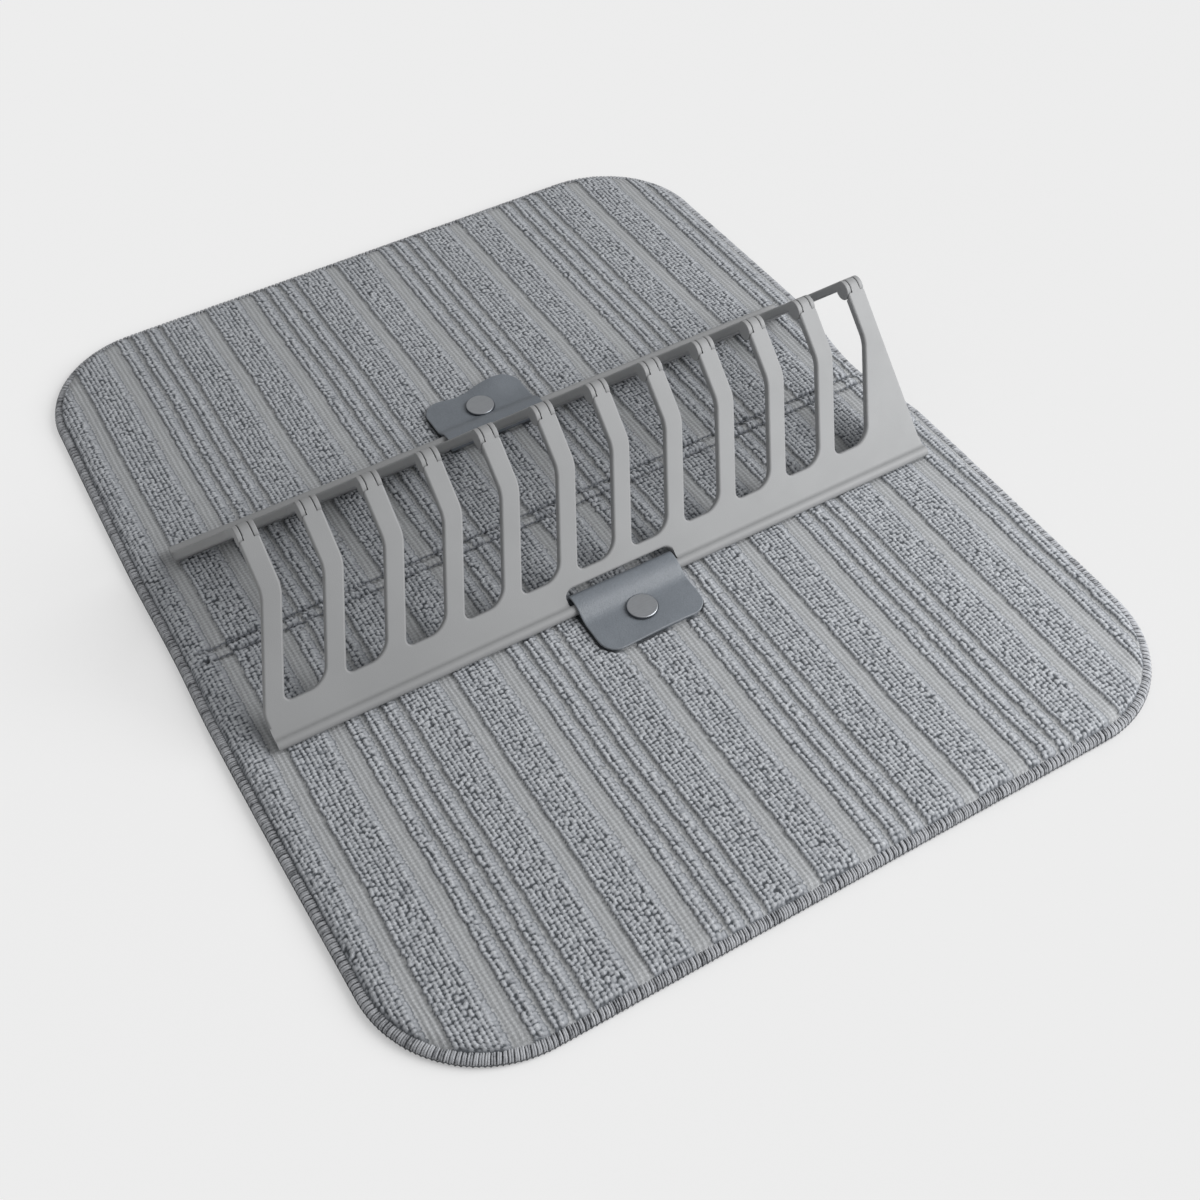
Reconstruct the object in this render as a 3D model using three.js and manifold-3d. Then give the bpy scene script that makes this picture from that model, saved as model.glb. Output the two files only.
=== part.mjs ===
// Dish drying mat with a folding plate rack, in millimetres, +Z up.
// The origin is the middle of the mat's underside, on the table. X runs along the rack, -Y is the front.
// Each half of the object is built as the front one. The rear one is the same, turned half round about Z.
import * as THREE from 'three';
import { mergeVertices } from 'three/addons/utils/BufferGeometryUtils.js';
import Module from 'manifold-3d';

const wasm = await Module();
wasm.setup();

// Mat outline
const MAT_WIDTH = 400;
const MAT_DEPTH = 502;
const MAT_CORNER_RADIUS = 60;
const PINCH_DEPTH = 5;
const PINCH_LENGTH = 18;
const PINCH_RADIUS = 20;
const FOLD_GAP = 0.3;

// Mat layers, from the table up
const BACKING_THICKNESS = 0.8;
const LAYER_GAP = 0.25;
const FOAM_THICKNESS = 4.45;
const CLOTH_THICKNESS = 1.05;
const PILE_HEIGHT = 1.6;
const EDGE_ROUNDING = 7;
const BACKING_FLANGE_THICKNESS = 0.75;
const CLOTH_FLANGE_THICKNESS = 1.55;

// Overlocked edging
const EDGING_WIDTH = 5;
const EDGING_WALL = 1.2;
const EDGING_LIP = 0.85;
const EDGING_HEIGHT = 4.8;
const EDGING_ROUNDING = 1.8;

// Stripes of the top cloth: looped pile stands up between smooth ribbed bands
const WIDE_BAND = 18;
const THIN_BAND = 5;
const THIN_BAND_GAP = 4;
const RIB_AFTER_WIDE = 10;
const RIB_BEFORE_WIDE = 9;
const THIN_BANDS = 3;
const WIDE_BAND_START = -13;
const BAND_LEAN = 0.4;

// Fold seam: a row of stitching on each side of the fold draws the cloth down
const SEAM_ROW_OFFSET = 3.4;
const SEAM_HALF_WIDTH = 2.6;
const SEAM_DEPTH = 2.2;
const SEAM_THREAD_RADIUS = 0.35;
const SEAM_THREAD_LIFT = 0.35;
const SEAM_THREAD_INSET = 9;

// Rack panels
const RACK_HALF_BASE = 68.5;
const HINGE_HEIGHT = 72.5;
const PANEL_THICKNESS = 4.6;
const PANEL_CHAMFER = 0.6;
const FOLDED_HALF_GAP = 0.4;
const FINGER_COUNT = 12;
const FINGER_WIDTH = 10;
const SLOT_WIDTH = 20;
const SLOT_FLOOR = 19.2;
const SLOT_KINK = 67;
const SLOT_LEAN_SHARE = 0.4;
const SLOT_TIGHT_RADIUS = 2.5;
const SLOT_WIDE_RADIUS = 12;
const KINK_RADIUS = 18;
const END_BEND = 17;
const END_BEND_RADIUS = 10;

// Bead along each panel's foot
const BEAD_RADIUS = 2.6;
const BEAD_STANDOFF = 0.6;
const BEAD_FILLET_RADIUS = 2.5;
const RAIL_TOP = 10.6;
const RAIL_INNER_START = 5.6;

// Knuckles of the rack's hinge
const EAR_WIDTH = 2.4;
const KNUCKLE_SIDE_GAP = 0.3;
const KNUCKLE_ROUND_GAP = 0.4;
const PIP_RADIUS = 1.3;
const PIP_CLEARANCE = 0.3;
const PIP_REACH = 1.4;

// Window in each foot, for the strap
const WINDOW_WIDTH = 60;
const WINDOW_TOP = 12.6;
const WINDOW_CORNER_RADIUS = 5;

// Leather straps
const STRAP_WIDTH = 56;
const STRAP_THICKNESS = 1.3;
const STRAP_REACH = 30.5;
const STRAP_CORNER_RADIUS = 9;
const LOOP_CLEARANCE = 0.3;
const PLY_GAP = 1;
const FLAP_DIP_DEGREES = 50;
const FLAP_DIP_RADIUS = 3;
const RECESS_MARGIN = 0.4;

// Press studs
const SNAP_REACH = 14.7;
const SNAP_GAP = 0.25;
const CAP_RADIUS = 7.6;
const CAP_HEIGHT = 1.5;
const CAP_ROUNDING = 0.7;
const CAP_SHANK_RADIUS = 1.2;
const CAP_SHANK_LENGTH = 0.75;
const SOCKET_RADIUS = 4.3;
const SOCKET_ROOF = 0.55;
const SOCKET_CAVITY_RADIUS = 2.75;
const SNAP_BORE_CLEARANCE = 0.3;
const BALL_RADIUS = 2.35;
const BALL_NECK_RADIUS = 1.95;
const BALL_GAP = 0.25;
const STUD_FLANGE_THICKNESS = 0.95;
const BALL_ROOF = 0.75;
const WASHER_RADIUS = 4.2;
const WASHER_THICKNESS = 0.6;

// How finely round shapes are cut, and how far every cut runs past what it cuts
const MAT_ARC_STEP = THREE.MathUtils.degToRad(11.25);
const SLOT_ARC_STEP = THREE.MathUtils.degToRad(24);
const BEAD_ARC_STEP = THREE.MathUtils.degToRad(30);
const LOOP_ARC_STEP = THREE.MathUtils.degToRad(18);
const KNUCKLE_SIDES = 14;
const PIP_SIDES = 6;
const SNAP_SIDES = 18;
const ROUNDING_STEPS = 2;
const CHAMFER_STEPS = 1;
const SEAM_STEPS = 3;
const OVERRUN = 12;

// Levels that follow from the layers
const FOAM_BOTTOM = BACKING_THICKNESS + LAYER_GAP;
const FOAM_TOP = FOAM_BOTTOM + FOAM_THICKNESS;
const CLOTH_BOTTOM = FOAM_TOP + LAYER_GAP;
const CLOTH_TOP = CLOTH_BOTTOM + CLOTH_THICKNESS;
const PILE_TOP = CLOTH_TOP + PILE_HEIGHT;
const BACKING_FLANGE_BOTTOM = EDGING_LIP + LAYER_GAP;
const BACKING_FLANGE_TOP = BACKING_FLANGE_BOTTOM + BACKING_FLANGE_THICKNESS;
const CLOTH_FLANGE_BOTTOM = BACKING_FLANGE_TOP + LAYER_GAP;
const CLOTH_FLANGE_TOP = CLOTH_FLANGE_BOTTOM + CLOTH_FLANGE_THICKNESS;
const FLANGE_INSET = EDGING_WALL + LAYER_GAP;
const BODY_INSET = EDGING_WIDTH + LAYER_GAP;
const CAVITY_INSET = BODY_INSET + CLOTH_THICKNESS;
const FOAM_INSET = CAVITY_INSET + LAYER_GAP;

// Places that follow from the rack and the strap
const RACK_LENGTH = FINGER_COUNT * FINGER_WIDTH + (FINGER_COUNT - 1) * SLOT_WIDTH
  + (SLOT_KINK - END_BEND) * SLOT_LEAN_SHARE;
const SNAP_PLACE = RACK_HALF_BASE + SNAP_REACH;
const STRAP_END = RACK_HALF_BASE + STRAP_REACH;
const PIVOT_HEIGHT = PILE_TOP + LAYER_GAP + BEAD_RADIUS;
const AXIS_DEPTH = BEAD_STANDOFF + PANEL_THICKNESS + FOLDED_HALF_GAP;
const AXIS_DISTANCE = Math.hypot(RACK_HALF_BASE, HINGE_HEIGHT - PIVOT_HEIGHT);
const AXIS_REACH = Math.sqrt(AXIS_DISTANCE ** 2 - AXIS_DEPTH ** 2);
const PANEL_ANGLE = Math.atan2(HINGE_HEIGHT - PIVOT_HEIGHT, RACK_HALF_BASE)
  + Math.atan2(AXIS_DEPTH, AXIS_REACH);
const KNUCKLE_RADIUS = PANEL_THICKNESS + FOLDED_HALF_GAP;
const TONGUE_WIDTH = FINGER_WIDTH - (EAR_WIDTH + KNUCKLE_SIDE_GAP) * 2;
const LOOP_RADIUS = BEAD_RADIUS + LOOP_CLEARANCE + STRAP_THICKNESS / 2;
const PLY_MIDDLE = PIVOT_HEIGHT - LOOP_RADIUS;
const PLY_BOTTOM = PLY_MIDDLE - STRAP_THICKNESS / 2;
const PLY_TOP = PLY_MIDDLE + STRAP_THICKNESS / 2;
const FLAP_MIDDLE = PLY_MIDDLE + STRAP_THICKNESS + PLY_GAP;
const FLAP_TOP = FLAP_MIDDLE + STRAP_THICKNESS / 2;
const RECESS_FLOOR = PLY_BOTTOM - LAYER_GAP;
const CAP_BOTTOM = FLAP_TOP + SNAP_GAP;
const SOCKET_TOP = CAP_BOTTOM - SNAP_GAP;
const SOCKET_BOTTOM = PLY_TOP + SNAP_GAP;
const SNAP_HOLE_RADIUS = SOCKET_RADIUS + SNAP_BORE_CLEARANCE;
const BALL_TOP = SOCKET_TOP - SOCKET_ROOF - BALL_GAP;
const STUD_BOTTOM = PLY_BOTTOM + SNAP_GAP;
const POST_RADIUS = CAP_SHANK_RADIUS;
const POST_BORE_RADIUS = POST_RADIUS + SNAP_BORE_CLEARANCE;
const WASHER_TOP = CLOTH_BOTTOM - SNAP_GAP;

// Sweeps: a shape drawn in (y, z) runs along X, and one drawn in (x, z) runs along -Y
const X_AXIS = new THREE.Vector3(1, 0, 0);
const Y_AXIS = new THREE.Vector3(0, 1, 0);
const Z_AXIS = new THREE.Vector3(0, 0, 1);
const ALONG_X = new THREE.Matrix4().makeBasis(Y_AXIS, Z_AXIS, X_AXIS);
const ALONG_MINUS_Y = new THREE.Matrix4().makeBasis(X_AXIS, Z_AXIS, Y_AXIS.clone().negate());

function toSolid(geometry) {
  const bare = geometry.clone();
  bare.deleteAttribute('normal');
  bare.deleteAttribute('uv');
  const welded = mergeVertices(bare);
  const corners = Array.from(welded.index.array);
  const triVerts = [];
  for (let i = 0; i < corners.length; i += 3) {
    const triangle = corners.slice(i, i + 3);
    if (new Set(triangle).size === triangle.length) triVerts.push(...triangle);
  }
  return new wasm.Manifold(new wasm.Mesh({
    numProp: 3,
    vertProperties: new Float32Array(welded.attributes.position.array),
    triVerts: new Uint32Array(triVerts),
  }));
}

function toGeometry(solid) {
  const mesh = solid.getMesh();
  const geometry = new THREE.BufferGeometry();
  geometry.setAttribute('position', new THREE.BufferAttribute(mesh.vertProperties, mesh.numProp));
  geometry.setIndex(new THREE.BufferAttribute(mesh.triVerts, 1));
  geometry.computeVertexNormals();
  return geometry;
}

function shapeOf(points) {
  return new THREE.Shape(points.map(([x, y]) => new THREE.Vector2(x, y)));
}

// A flat-sided solid between two heights
function plate(points, bottom, top) {
  const geometry = new THREE.ExtrudeGeometry(shapeOf(points), { depth: top - bottom, bevelEnabled: false });
  return toSolid(geometry.translate(0, 0, bottom));
}

// A plate whose edges are rounded, above and below, by one rise over one run
function roundedPlate(points, bottom, top, run, rise, steps) {
  const geometry = new THREE.ExtrudeGeometry(shapeOf(points), {
    depth: top - bottom - rise * 2,
    bevelThickness: rise,
    bevelSize: run,
    bevelOffset: -run,
    bevelSegments: steps,
  });
  return toSolid(geometry.translate(0, 0, bottom + rise));
}

function sweepAlongX(points, from, to) {
  const geometry = new THREE.ExtrudeGeometry(shapeOf(points), { depth: to - from, bevelEnabled: false });
  return toSolid(geometry.translate(0, 0, from).applyMatrix4(ALONG_X));
}

function sweepAlongY(points, from, to) {
  const geometry = new THREE.ExtrudeGeometry(shapeOf(points), { depth: to - from, bevelEnabled: false });
  return toSolid(geometry.translate(0, 0, -to).applyMatrix4(ALONG_MINUS_Y));
}

// A round solid about Z from its half section, given as (radius, height) points
function turned(profile, place) {
  const points = profile.map(([radius, height]) => new THREE.Vector2(radius, height));
  const geometry = new THREE.LatheGeometry(points, SNAP_SIDES);
  return toSolid(geometry.rotateX(Math.PI / 2).translate(0, place, 0));
}

function disc(radius, bottom, top, place) {
  return turned([[0, bottom], [radius, bottom], [radius, top], [0, top]], place);
}

function circle(centre, radius, sides) {
  return Array.from({ length: sides }, (_, i) => {
    const angle = (i / sides) * Math.PI * 2;
    return [centre[0] + radius * Math.cos(angle), centre[1] + radius * Math.sin(angle)];
  });
}

function arc(centre, radius, start, end, step) {
  const steps = Math.max(1, Math.ceil(Math.abs(end - start) / step));
  return Array.from({ length: steps + 1 }, (_, i) => {
    const angle = start + ((end - start) * i) / steps;
    return [centre[0] + radius * Math.cos(angle), centre[1] + radius * Math.sin(angle)];
  });
}

// Turns corners given as (x, y, radius) into an outline whose corners are rounded
function roundedOutline(corners, step) {
  return corners.flatMap(([x, y, radius], i) => {
    if (!radius) return [[x, y]];
    const before = corners.at(i - 1);
    const after = corners[(i + 1) % corners.length];
    const toBefore = new THREE.Vector2(before[0] - x, before[1] - y).normalize();
    const toAfter = new THREE.Vector2(after[0] - x, after[1] - y).normalize();
    const halfAngle = Math.acos(toBefore.dot(toAfter)) / 2;
    const inward = toBefore.clone().add(toAfter).normalize().multiplyScalar(radius / Math.sin(halfAngle));
    const centre = [x + inward.x, y + inward.y];
    const reach = radius / Math.tan(halfAngle);
    const start = Math.atan2(y + toBefore.y * reach - centre[1], x + toBefore.x * reach - centre[0]);
    const side = Math.sign(toAfter.cross(toBefore));
    return arc(centre, radius, start, start + side * (Math.PI - halfAngle * 2), step);
  });
}

// The whole mat's outline, drawn in from its edge, with its sides pinched at the fold
function matOutline(inset) {
  const halfWidth = MAT_WIDTH / 2 - inset;
  const halfDepth = MAT_DEPTH / 2 - inset;
  const cornerRadius = MAT_CORNER_RADIUS - inset;
  const side = (sign) => [
    [sign * halfWidth, -sign * halfDepth, cornerRadius],
    [sign * halfWidth, -sign * PINCH_LENGTH, PINCH_RADIUS],
    [sign * (halfWidth - PINCH_DEPTH), 0, PINCH_RADIUS],
    [sign * halfWidth, sign * PINCH_LENGTH, PINCH_RADIUS],
    [sign * halfWidth, sign * halfDepth, cornerRadius],
  ];
  return roundedOutline([...side(1), ...side(-1)], MAT_ARC_STEP);
}

function matPlate(inset, bottom, top) {
  return plate(matOutline(inset), bottom, top);
}

// A plate whose top edge falls away like a cushion's, and whose flat underside is at the given level
function crownedPlate(inset, bottom, top, run, rise) {
  const body = roundedPlate(matOutline(inset), bottom - rise, top, run, rise, ROUNDING_STEPS);
  return body.intersect(matPlate(0, bottom, top + OVERRUN));
}

// What lies on the front side of the fold
function frontHalf() {
  const halfWidth = MAT_WIDTH / 2 + OVERRUN;
  const edge = -(MAT_DEPTH / 2 + OVERRUN);
  const fold = -FOLD_GAP / 2;
  const corners = [[-halfWidth, edge], [halfWidth, edge], [halfWidth, fold], [-halfWidth, fold]];
  return plate(corners, -OVERRUN, PILE_TOP + OVERRUN);
}

// What lies above one row of the seam, when the bottom of its groove is at the given level
function seamGroove(bottom, halfWidth) {
  const curve = Array.from({ length: SEAM_STEPS * 2 + 1 }, (_, i) => {
    const across = i / SEAM_STEPS - 1;
    const rise = (SEAM_DEPTH * (1 - Math.cos(Math.PI * across))) / 2;
    return [across * halfWidth - SEAM_ROW_OFFSET, bottom + rise];
  });
  const lid = PILE_TOP + OVERRUN;
  const lidCorners = [[halfWidth - SEAM_ROW_OFFSET, lid], [-halfWidth - SEAM_ROW_OFFSET, lid]];
  return sweepAlongX([...curve, ...lidCorners], -MAT_WIDTH, MAT_WIDTH);
}

// Left and right edges of every pile band on the mat
function pileBands() {
  const repeat = WIDE_BAND * 2 + RIB_AFTER_WIDE + RIB_BEFORE_WIDE + (THIN_BAND + THIN_BAND_GAP) * THIN_BANDS;
  const repeatsEachSide = Math.ceil(MAT_WIDTH / 2 / repeat) + 1;
  const bands = [];
  for (let i = -repeatsEachSide; i <= repeatsEachSide; i += 1) {
    const start = WIDE_BAND_START + i * repeat;
    bands.push([start, start + WIDE_BAND]);
    let thin = start + WIDE_BAND + RIB_AFTER_WIDE;
    for (let j = 0; j < THIN_BANDS; j += 1) {
      bands.push([thin, thin + THIN_BAND]);
      thin += THIN_BAND + THIN_BAND_GAP;
    }
    bands.push([thin, thin + WIDE_BAND]);
  }
  const half = MAT_WIDTH / 2;
  return bands.filter(([left, right]) => left > -half && right < half);
}

// The cloth's section across the stripes, level with the pile beyond the outermost bands
function stripeSection(mirrored) {
  const bands = pileBands();
  const half = MAT_WIDTH / 2 + OVERRUN;
  const top = [[-half, PILE_TOP]];
  const rib = (left, right) => top.push(
    [left - BAND_LEAN, PILE_TOP],
    [left, CLOTH_TOP],
    [right, CLOTH_TOP],
    [right + BAND_LEAN, PILE_TOP],
  );
  rib(bands[0][0] - RIB_BEFORE_WIDE, bands[0][0]);
  bands.slice(1).forEach(([left], i) => rib(bands[i][1], left));
  rib(bands.at(-1)[1], bands.at(-1)[1] + RIB_AFTER_WIDE);
  const points = [...top, [half, PILE_TOP], [half, CLOTH_FLANGE_BOTTOM], [-half, CLOTH_FLANGE_BOTTOM]];
  return mirrored ? points.map(([x, z]) => [-x, z]) : points;
}

// Plan of the strap's two plies, grown by a margin
function strapPlan(margin) {
  const halfWidth = STRAP_WIDTH / 2 + margin;
  const inner = -(RACK_HALF_BASE - LOOP_RADIUS - STRAP_THICKNESS / 2 - margin);
  const outer = -(STRAP_END + margin);
  return roundedOutline([
    [-halfWidth, inner, 0],
    [-halfWidth, outer, STRAP_CORNER_RADIUS + margin],
    [halfWidth, outer, STRAP_CORNER_RADIUS + margin],
    [halfWidth, inner, 0],
  ], SLOT_ARC_STEP);
}

function topCloth(mirrored) {
  const stripes = sweepAlongY(stripeSection(mirrored), -(MAT_DEPTH / 2 + OVERRUN), OVERRUN);
  const crownRise = PILE_TOP - EDGING_HEIGHT;
  const crown = crownedPlate(BODY_INSET, CLOTH_FLANGE_BOTTOM, PILE_TOP, EDGE_ROUNDING, crownRise);
  const flange = matPlate(FLANGE_INSET, CLOTH_FLANGE_BOTTOM, CLOTH_FLANGE_TOP);
  const cavityRise = CLOTH_BOTTOM - CLOTH_FLANGE_BOTTOM;
  const cavity = crownedPlate(CAVITY_INSET, -OVERRUN, CLOTH_BOTTOM, EDGE_ROUNDING, cavityRise)
    .subtract(seamGroove(PILE_TOP - SEAM_DEPTH - CLOTH_THICKNESS, SEAM_HALF_WIDTH + CLOTH_THICKNESS));
  return stripes.intersect(crown)
    .add(flange)
    .subtract(cavity)
    .subtract(seamGroove(PILE_TOP - SEAM_DEPTH, SEAM_HALF_WIDTH))
    .subtract(plate(strapPlan(RECESS_MARGIN), RECESS_FLOOR, PILE_TOP + OVERRUN))
    .subtract(disc(POST_BORE_RADIUS, 0, PILE_TOP + OVERRUN, -SNAP_PLACE))
    .intersect(frontHalf());
}

function foamCore() {
  const rise = FOAM_TOP - CLOTH_FLANGE_BOTTOM;
  const seamBottom = PILE_TOP - SEAM_DEPTH - CLOTH_THICKNESS - LAYER_GAP;
  const washerSeatBottom = WASHER_TOP - WASHER_THICKNESS - SNAP_GAP;
  const washerSeat = disc(WASHER_RADIUS + SNAP_GAP, washerSeatBottom, PILE_TOP, -SNAP_PLACE);
  return crownedPlate(FOAM_INSET, FOAM_BOTTOM, FOAM_TOP, EDGE_ROUNDING, rise)
    .subtract(seamGroove(seamBottom, SEAM_HALF_WIDTH + CLOTH_THICKNESS + LAYER_GAP))
    .subtract(washerSeat)
    .intersect(frontHalf());
}

function backingCloth() {
  return matPlate(FLANGE_INSET, BACKING_FLANGE_BOTTOM, BACKING_FLANGE_TOP)
    .add(matPlate(BODY_INSET, 0, BACKING_FLANGE_TOP))
    .subtract(matPlate(CAVITY_INSET, BACKING_THICKNESS, PILE_TOP))
    .intersect(frontHalf());
}

function overlockEdging() {
  const slotTop = CLOTH_FLANGE_TOP + LAYER_GAP;
  return roundedPlate(matOutline(0), 0, EDGING_HEIGHT, EDGING_ROUNDING, EDGING_ROUNDING, ROUNDING_STEPS)
    .subtract(matPlate(EDGING_WIDTH, -OVERRUN, EDGING_HEIGHT + OVERRUN))
    .subtract(matPlate(EDGING_WALL, EDGING_LIP, slotTop))
    .intersect(frontHalf());
}

// One row of the fold's double stitching, lying in its groove
function seamThread() {
  const middle = [-SEAM_ROW_OFFSET, PILE_TOP - SEAM_DEPTH + SEAM_THREAD_LIFT + SEAM_THREAD_RADIUS];
  const reach = MAT_WIDTH / 2 - PINCH_DEPTH - SEAM_THREAD_INSET;
  return sweepAlongX(circle(middle, SEAM_THREAD_RADIUS, PIP_SIDES), -reach, reach);
}

// Panels are drawn flat: u runs along the rack, v up the slope from the bead, w out of the front face
function combOutline(mirrored) {
  const left = -RACK_LENGTH / 2;
  const right = RACK_LENGTH / 2;
  const kink = SLOT_KINK - BEAD_RADIUS;
  const floor = SLOT_FLOOR - BEAD_RADIUS;
  const bottom = RAIL_INNER_START - BEAD_RADIUS;
  const shift = SLOT_LEAN_SHARE * (kink - floor);
  const endBend = END_BEND - BEAD_RADIUS;
  let edge = left + SLOT_LEAN_SHARE * (kink - endBend);
  const corners = [[left, bottom, 0], [left, endBend, END_BEND_RADIUS], [edge, kink, KINK_RADIUS]];
  corners.push([edge, AXIS_REACH, 0]);
  for (let i = 1; i < FINGER_COUNT; i += 1) {
    edge += FINGER_WIDTH;
    corners.push([edge, AXIS_REACH, 0], [edge, kink, KINK_RADIUS], [edge - shift, floor, SLOT_TIGHT_RADIUS]);
    edge += SLOT_WIDTH;
    corners.push([edge - shift, floor, SLOT_WIDE_RADIUS], [edge, kink, KINK_RADIUS], [edge, AXIS_REACH, 0]);
  }
  corners.push([right, AXIS_REACH, 0], [right, bottom, 0]);
  const points = roundedOutline(corners, SLOT_ARC_STEP);
  return mirrored ? points.map(([u, v]) => [-u, v]) : points;
}

// The foot's section: a bead that stands out of the front face, with a hollow fillet above it
function railSection() {
  const face = -BEAD_STANDOFF;
  const filletCentre = face + BEAD_FILLET_RADIUS;
  const filletRise = Math.sqrt((BEAD_RADIUS + BEAD_FILLET_RADIUS) ** 2 - filletCentre ** 2);
  const meeting = Math.atan2(filletCentre, filletRise);
  const top = RAIL_TOP - BEAD_RADIUS;
  const inside = face - PANEL_THICKNESS;
  return [
    [top, face],
    ...arc([filletRise, filletCentre], BEAD_FILLET_RADIUS, -Math.PI / 2, meeting - Math.PI, BEAD_ARC_STEP),
    ...arc([0, 0], BEAD_RADIUS, meeting, Math.PI * 1.25, BEAD_ARC_STEP).slice(1),
    [RAIL_INNER_START - BEAD_RADIUS, inside],
    [top, inside],
  ];
}

function fingerMiddles() {
  const last = RACK_LENGTH / 2 - FINGER_WIDTH / 2;
  return Array.from({ length: FINGER_COUNT }, (_, i) => last - i * (FINGER_WIDTH + SLOT_WIDTH));
}

function knuckle(radius, sides, from, to) {
  return sweepAlongX(circle([AXIS_REACH, -AXIS_DEPTH], radius, sides), from, to);
}

function combPanel(mirrored) {
  const face = -BEAD_STANDOFF;
  const outline = combOutline(mirrored);
  const back = face - PANEL_THICKNESS;
  const comb = roundedPlate(outline, back, face, PANEL_CHAMFER, PANEL_CHAMFER, CHAMFER_STEPS);
  const rail = sweepAlongX(railSection(), -RACK_LENGTH / 2, RACK_LENGTH / 2);
  const windowTop = WINDOW_TOP - BEAD_RADIUS;
  const windowOutline = roundedOutline([
    [-WINDOW_WIDTH / 2, -OVERRUN, 0],
    [-WINDOW_WIDTH / 2, windowTop, WINDOW_CORNER_RADIUS],
    [WINDOW_WIDTH / 2, windowTop, WINDOW_CORNER_RADIUS],
    [WINDOW_WIDTH / 2, -OVERRUN, 0],
  ], SLOT_ARC_STEP);
  const bar = sweepAlongX(circle([0, 0], BEAD_RADIUS, KNUCKLE_SIDES), -WINDOW_WIDTH, WINDOW_WIDTH);
  return comb.add(rail).subtract(plate(windowOutline, -OVERRUN, OVERRUN).subtract(bar));
}

// The front panel's fingers end in tongues, with a pip on each side
function frontPanel() {
  const half = TONGUE_WIDTH / 2;
  const pipEnd = half + KNUCKLE_SIDE_GAP + PIP_REACH;
  const clearRadius = KNUCKLE_RADIUS + KNUCKLE_ROUND_GAP;
  const past = FINGER_WIDTH / 2 + KNUCKLE_SIDE_GAP;
  const mirrored = false;
  return fingerMiddles().reduce((panel, middle) => panel
    .subtract(knuckle(clearRadius, KNUCKLE_SIDES, middle - past, middle - half))
    .subtract(knuckle(clearRadius, KNUCKLE_SIDES, middle + half, middle + past))
    .add(knuckle(KNUCKLE_RADIUS, KNUCKLE_SIDES, middle - half, middle + half))
    .add(knuckle(PIP_RADIUS, PIP_SIDES, middle - pipEnd, middle + pipEnd)), combPanel(mirrored));
}

// The rear panel's fingers end in forks that clip over the tongues
function rearPanel() {
  const inner = TONGUE_WIDTH / 2 + KNUCKLE_SIDE_GAP;
  const outer = FINGER_WIDTH / 2;
  const holeEnd = inner + PIP_REACH + PIP_CLEARANCE;
  const clearRadius = KNUCKLE_RADIUS + KNUCKLE_ROUND_GAP;
  const holeRadius = PIP_RADIUS + PIP_CLEARANCE;
  const mirrored = true;
  return fingerMiddles().map((middle) => -middle).reduce((panel, middle) => panel
    .subtract(knuckle(clearRadius, KNUCKLE_SIDES, middle - inner, middle + inner))
    .add(knuckle(KNUCKLE_RADIUS, KNUCKLE_SIDES, middle - outer, middle - inner))
    .add(knuckle(KNUCKLE_RADIUS, KNUCKLE_SIDES, middle + inner, middle + outer))
    .subtract(knuckle(holeRadius, PIP_SIDES, middle - holeEnd, middle + holeEnd)), combPanel(mirrored));
}

// The strap's middle line in (distance from the fold, height): lower ply, loop round the bar, flap
function strapLine() {
  const dip = THREE.MathUtils.degToRad(FLAP_DIP_DEGREES);
  const bar = [RACK_HALF_BASE, PIVOT_HEIGHT];
  const leave = Math.PI / 2 - dip;
  const loop = arc(bar, LOOP_RADIUS, -Math.PI / 2, leave - Math.PI * 2, LOOP_ARC_STEP);
  const exit = loop.at(-1);
  const bendCentreHeight = FLAP_MIDDLE + FLAP_DIP_RADIUS;
  const bendStartHeight = bendCentreHeight - FLAP_DIP_RADIUS * Math.cos(dip);
  const bendStart = exit[0] + (exit[1] - bendStartHeight) / Math.tan(dip);
  const bendCentre = [bendStart + FLAP_DIP_RADIUS * Math.sin(dip), bendCentreHeight];
  const bend = arc(bendCentre, FLAP_DIP_RADIUS, -Math.PI / 2 - dip, -Math.PI / 2, LOOP_ARC_STEP);
  return [[STRAP_END, PLY_MIDDLE], ...loop, ...bend, [STRAP_END, FLAP_MIDDLE]];
}

function strap() {
  const line = strapLine();
  const side = (sign) => line.map(([y, z], i) => {
    const before = line[Math.max(i - 1, 0)];
    const after = line[Math.min(i + 1, line.length - 1)];
    const along = new THREE.Vector2(after[0] - before[0], after[1] - before[1]).normalize();
    return [y - along.y * sign * (STRAP_THICKNESS / 2), z + along.x * sign * (STRAP_THICKNESS / 2)];
  });
  const section = [...side(1), ...side(-1).reverse()].map(([y, z]) => [-y, z]);
  return sweepAlongX(section, -STRAP_WIDTH / 2, STRAP_WIDTH / 2)
    .intersect(plate(strapPlan(0), -OVERRUN, PIVOT_HEIGHT + OVERRUN))
    .subtract(disc(SNAP_HOLE_RADIUS, -OVERRUN, PIVOT_HEIGHT + OVERRUN, -SNAP_PLACE));
}

function snapCap() {
  const top = CAP_BOTTOM + CAP_HEIGHT;
  const rim = CAP_BOTTOM + CAP_ROUNDING / 2;
  const shoulderCentre = [CAP_RADIUS - CAP_ROUNDING, top - CAP_ROUNDING];
  const shoulder = arc(shoulderCentre, CAP_ROUNDING, 0, Math.PI / 2, BEAD_ARC_STEP);
  return turned([
    [0, CAP_BOTTOM - CAP_SHANK_LENGTH],
    [CAP_SHANK_RADIUS, CAP_BOTTOM - CAP_SHANK_LENGTH],
    [CAP_SHANK_RADIUS, CAP_BOTTOM],
    [CAP_RADIUS - CAP_ROUNDING / 2, CAP_BOTTOM],
    [CAP_RADIUS, rim],
    ...shoulder,
    [0, top],
  ], -SNAP_PLACE);
}

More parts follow.
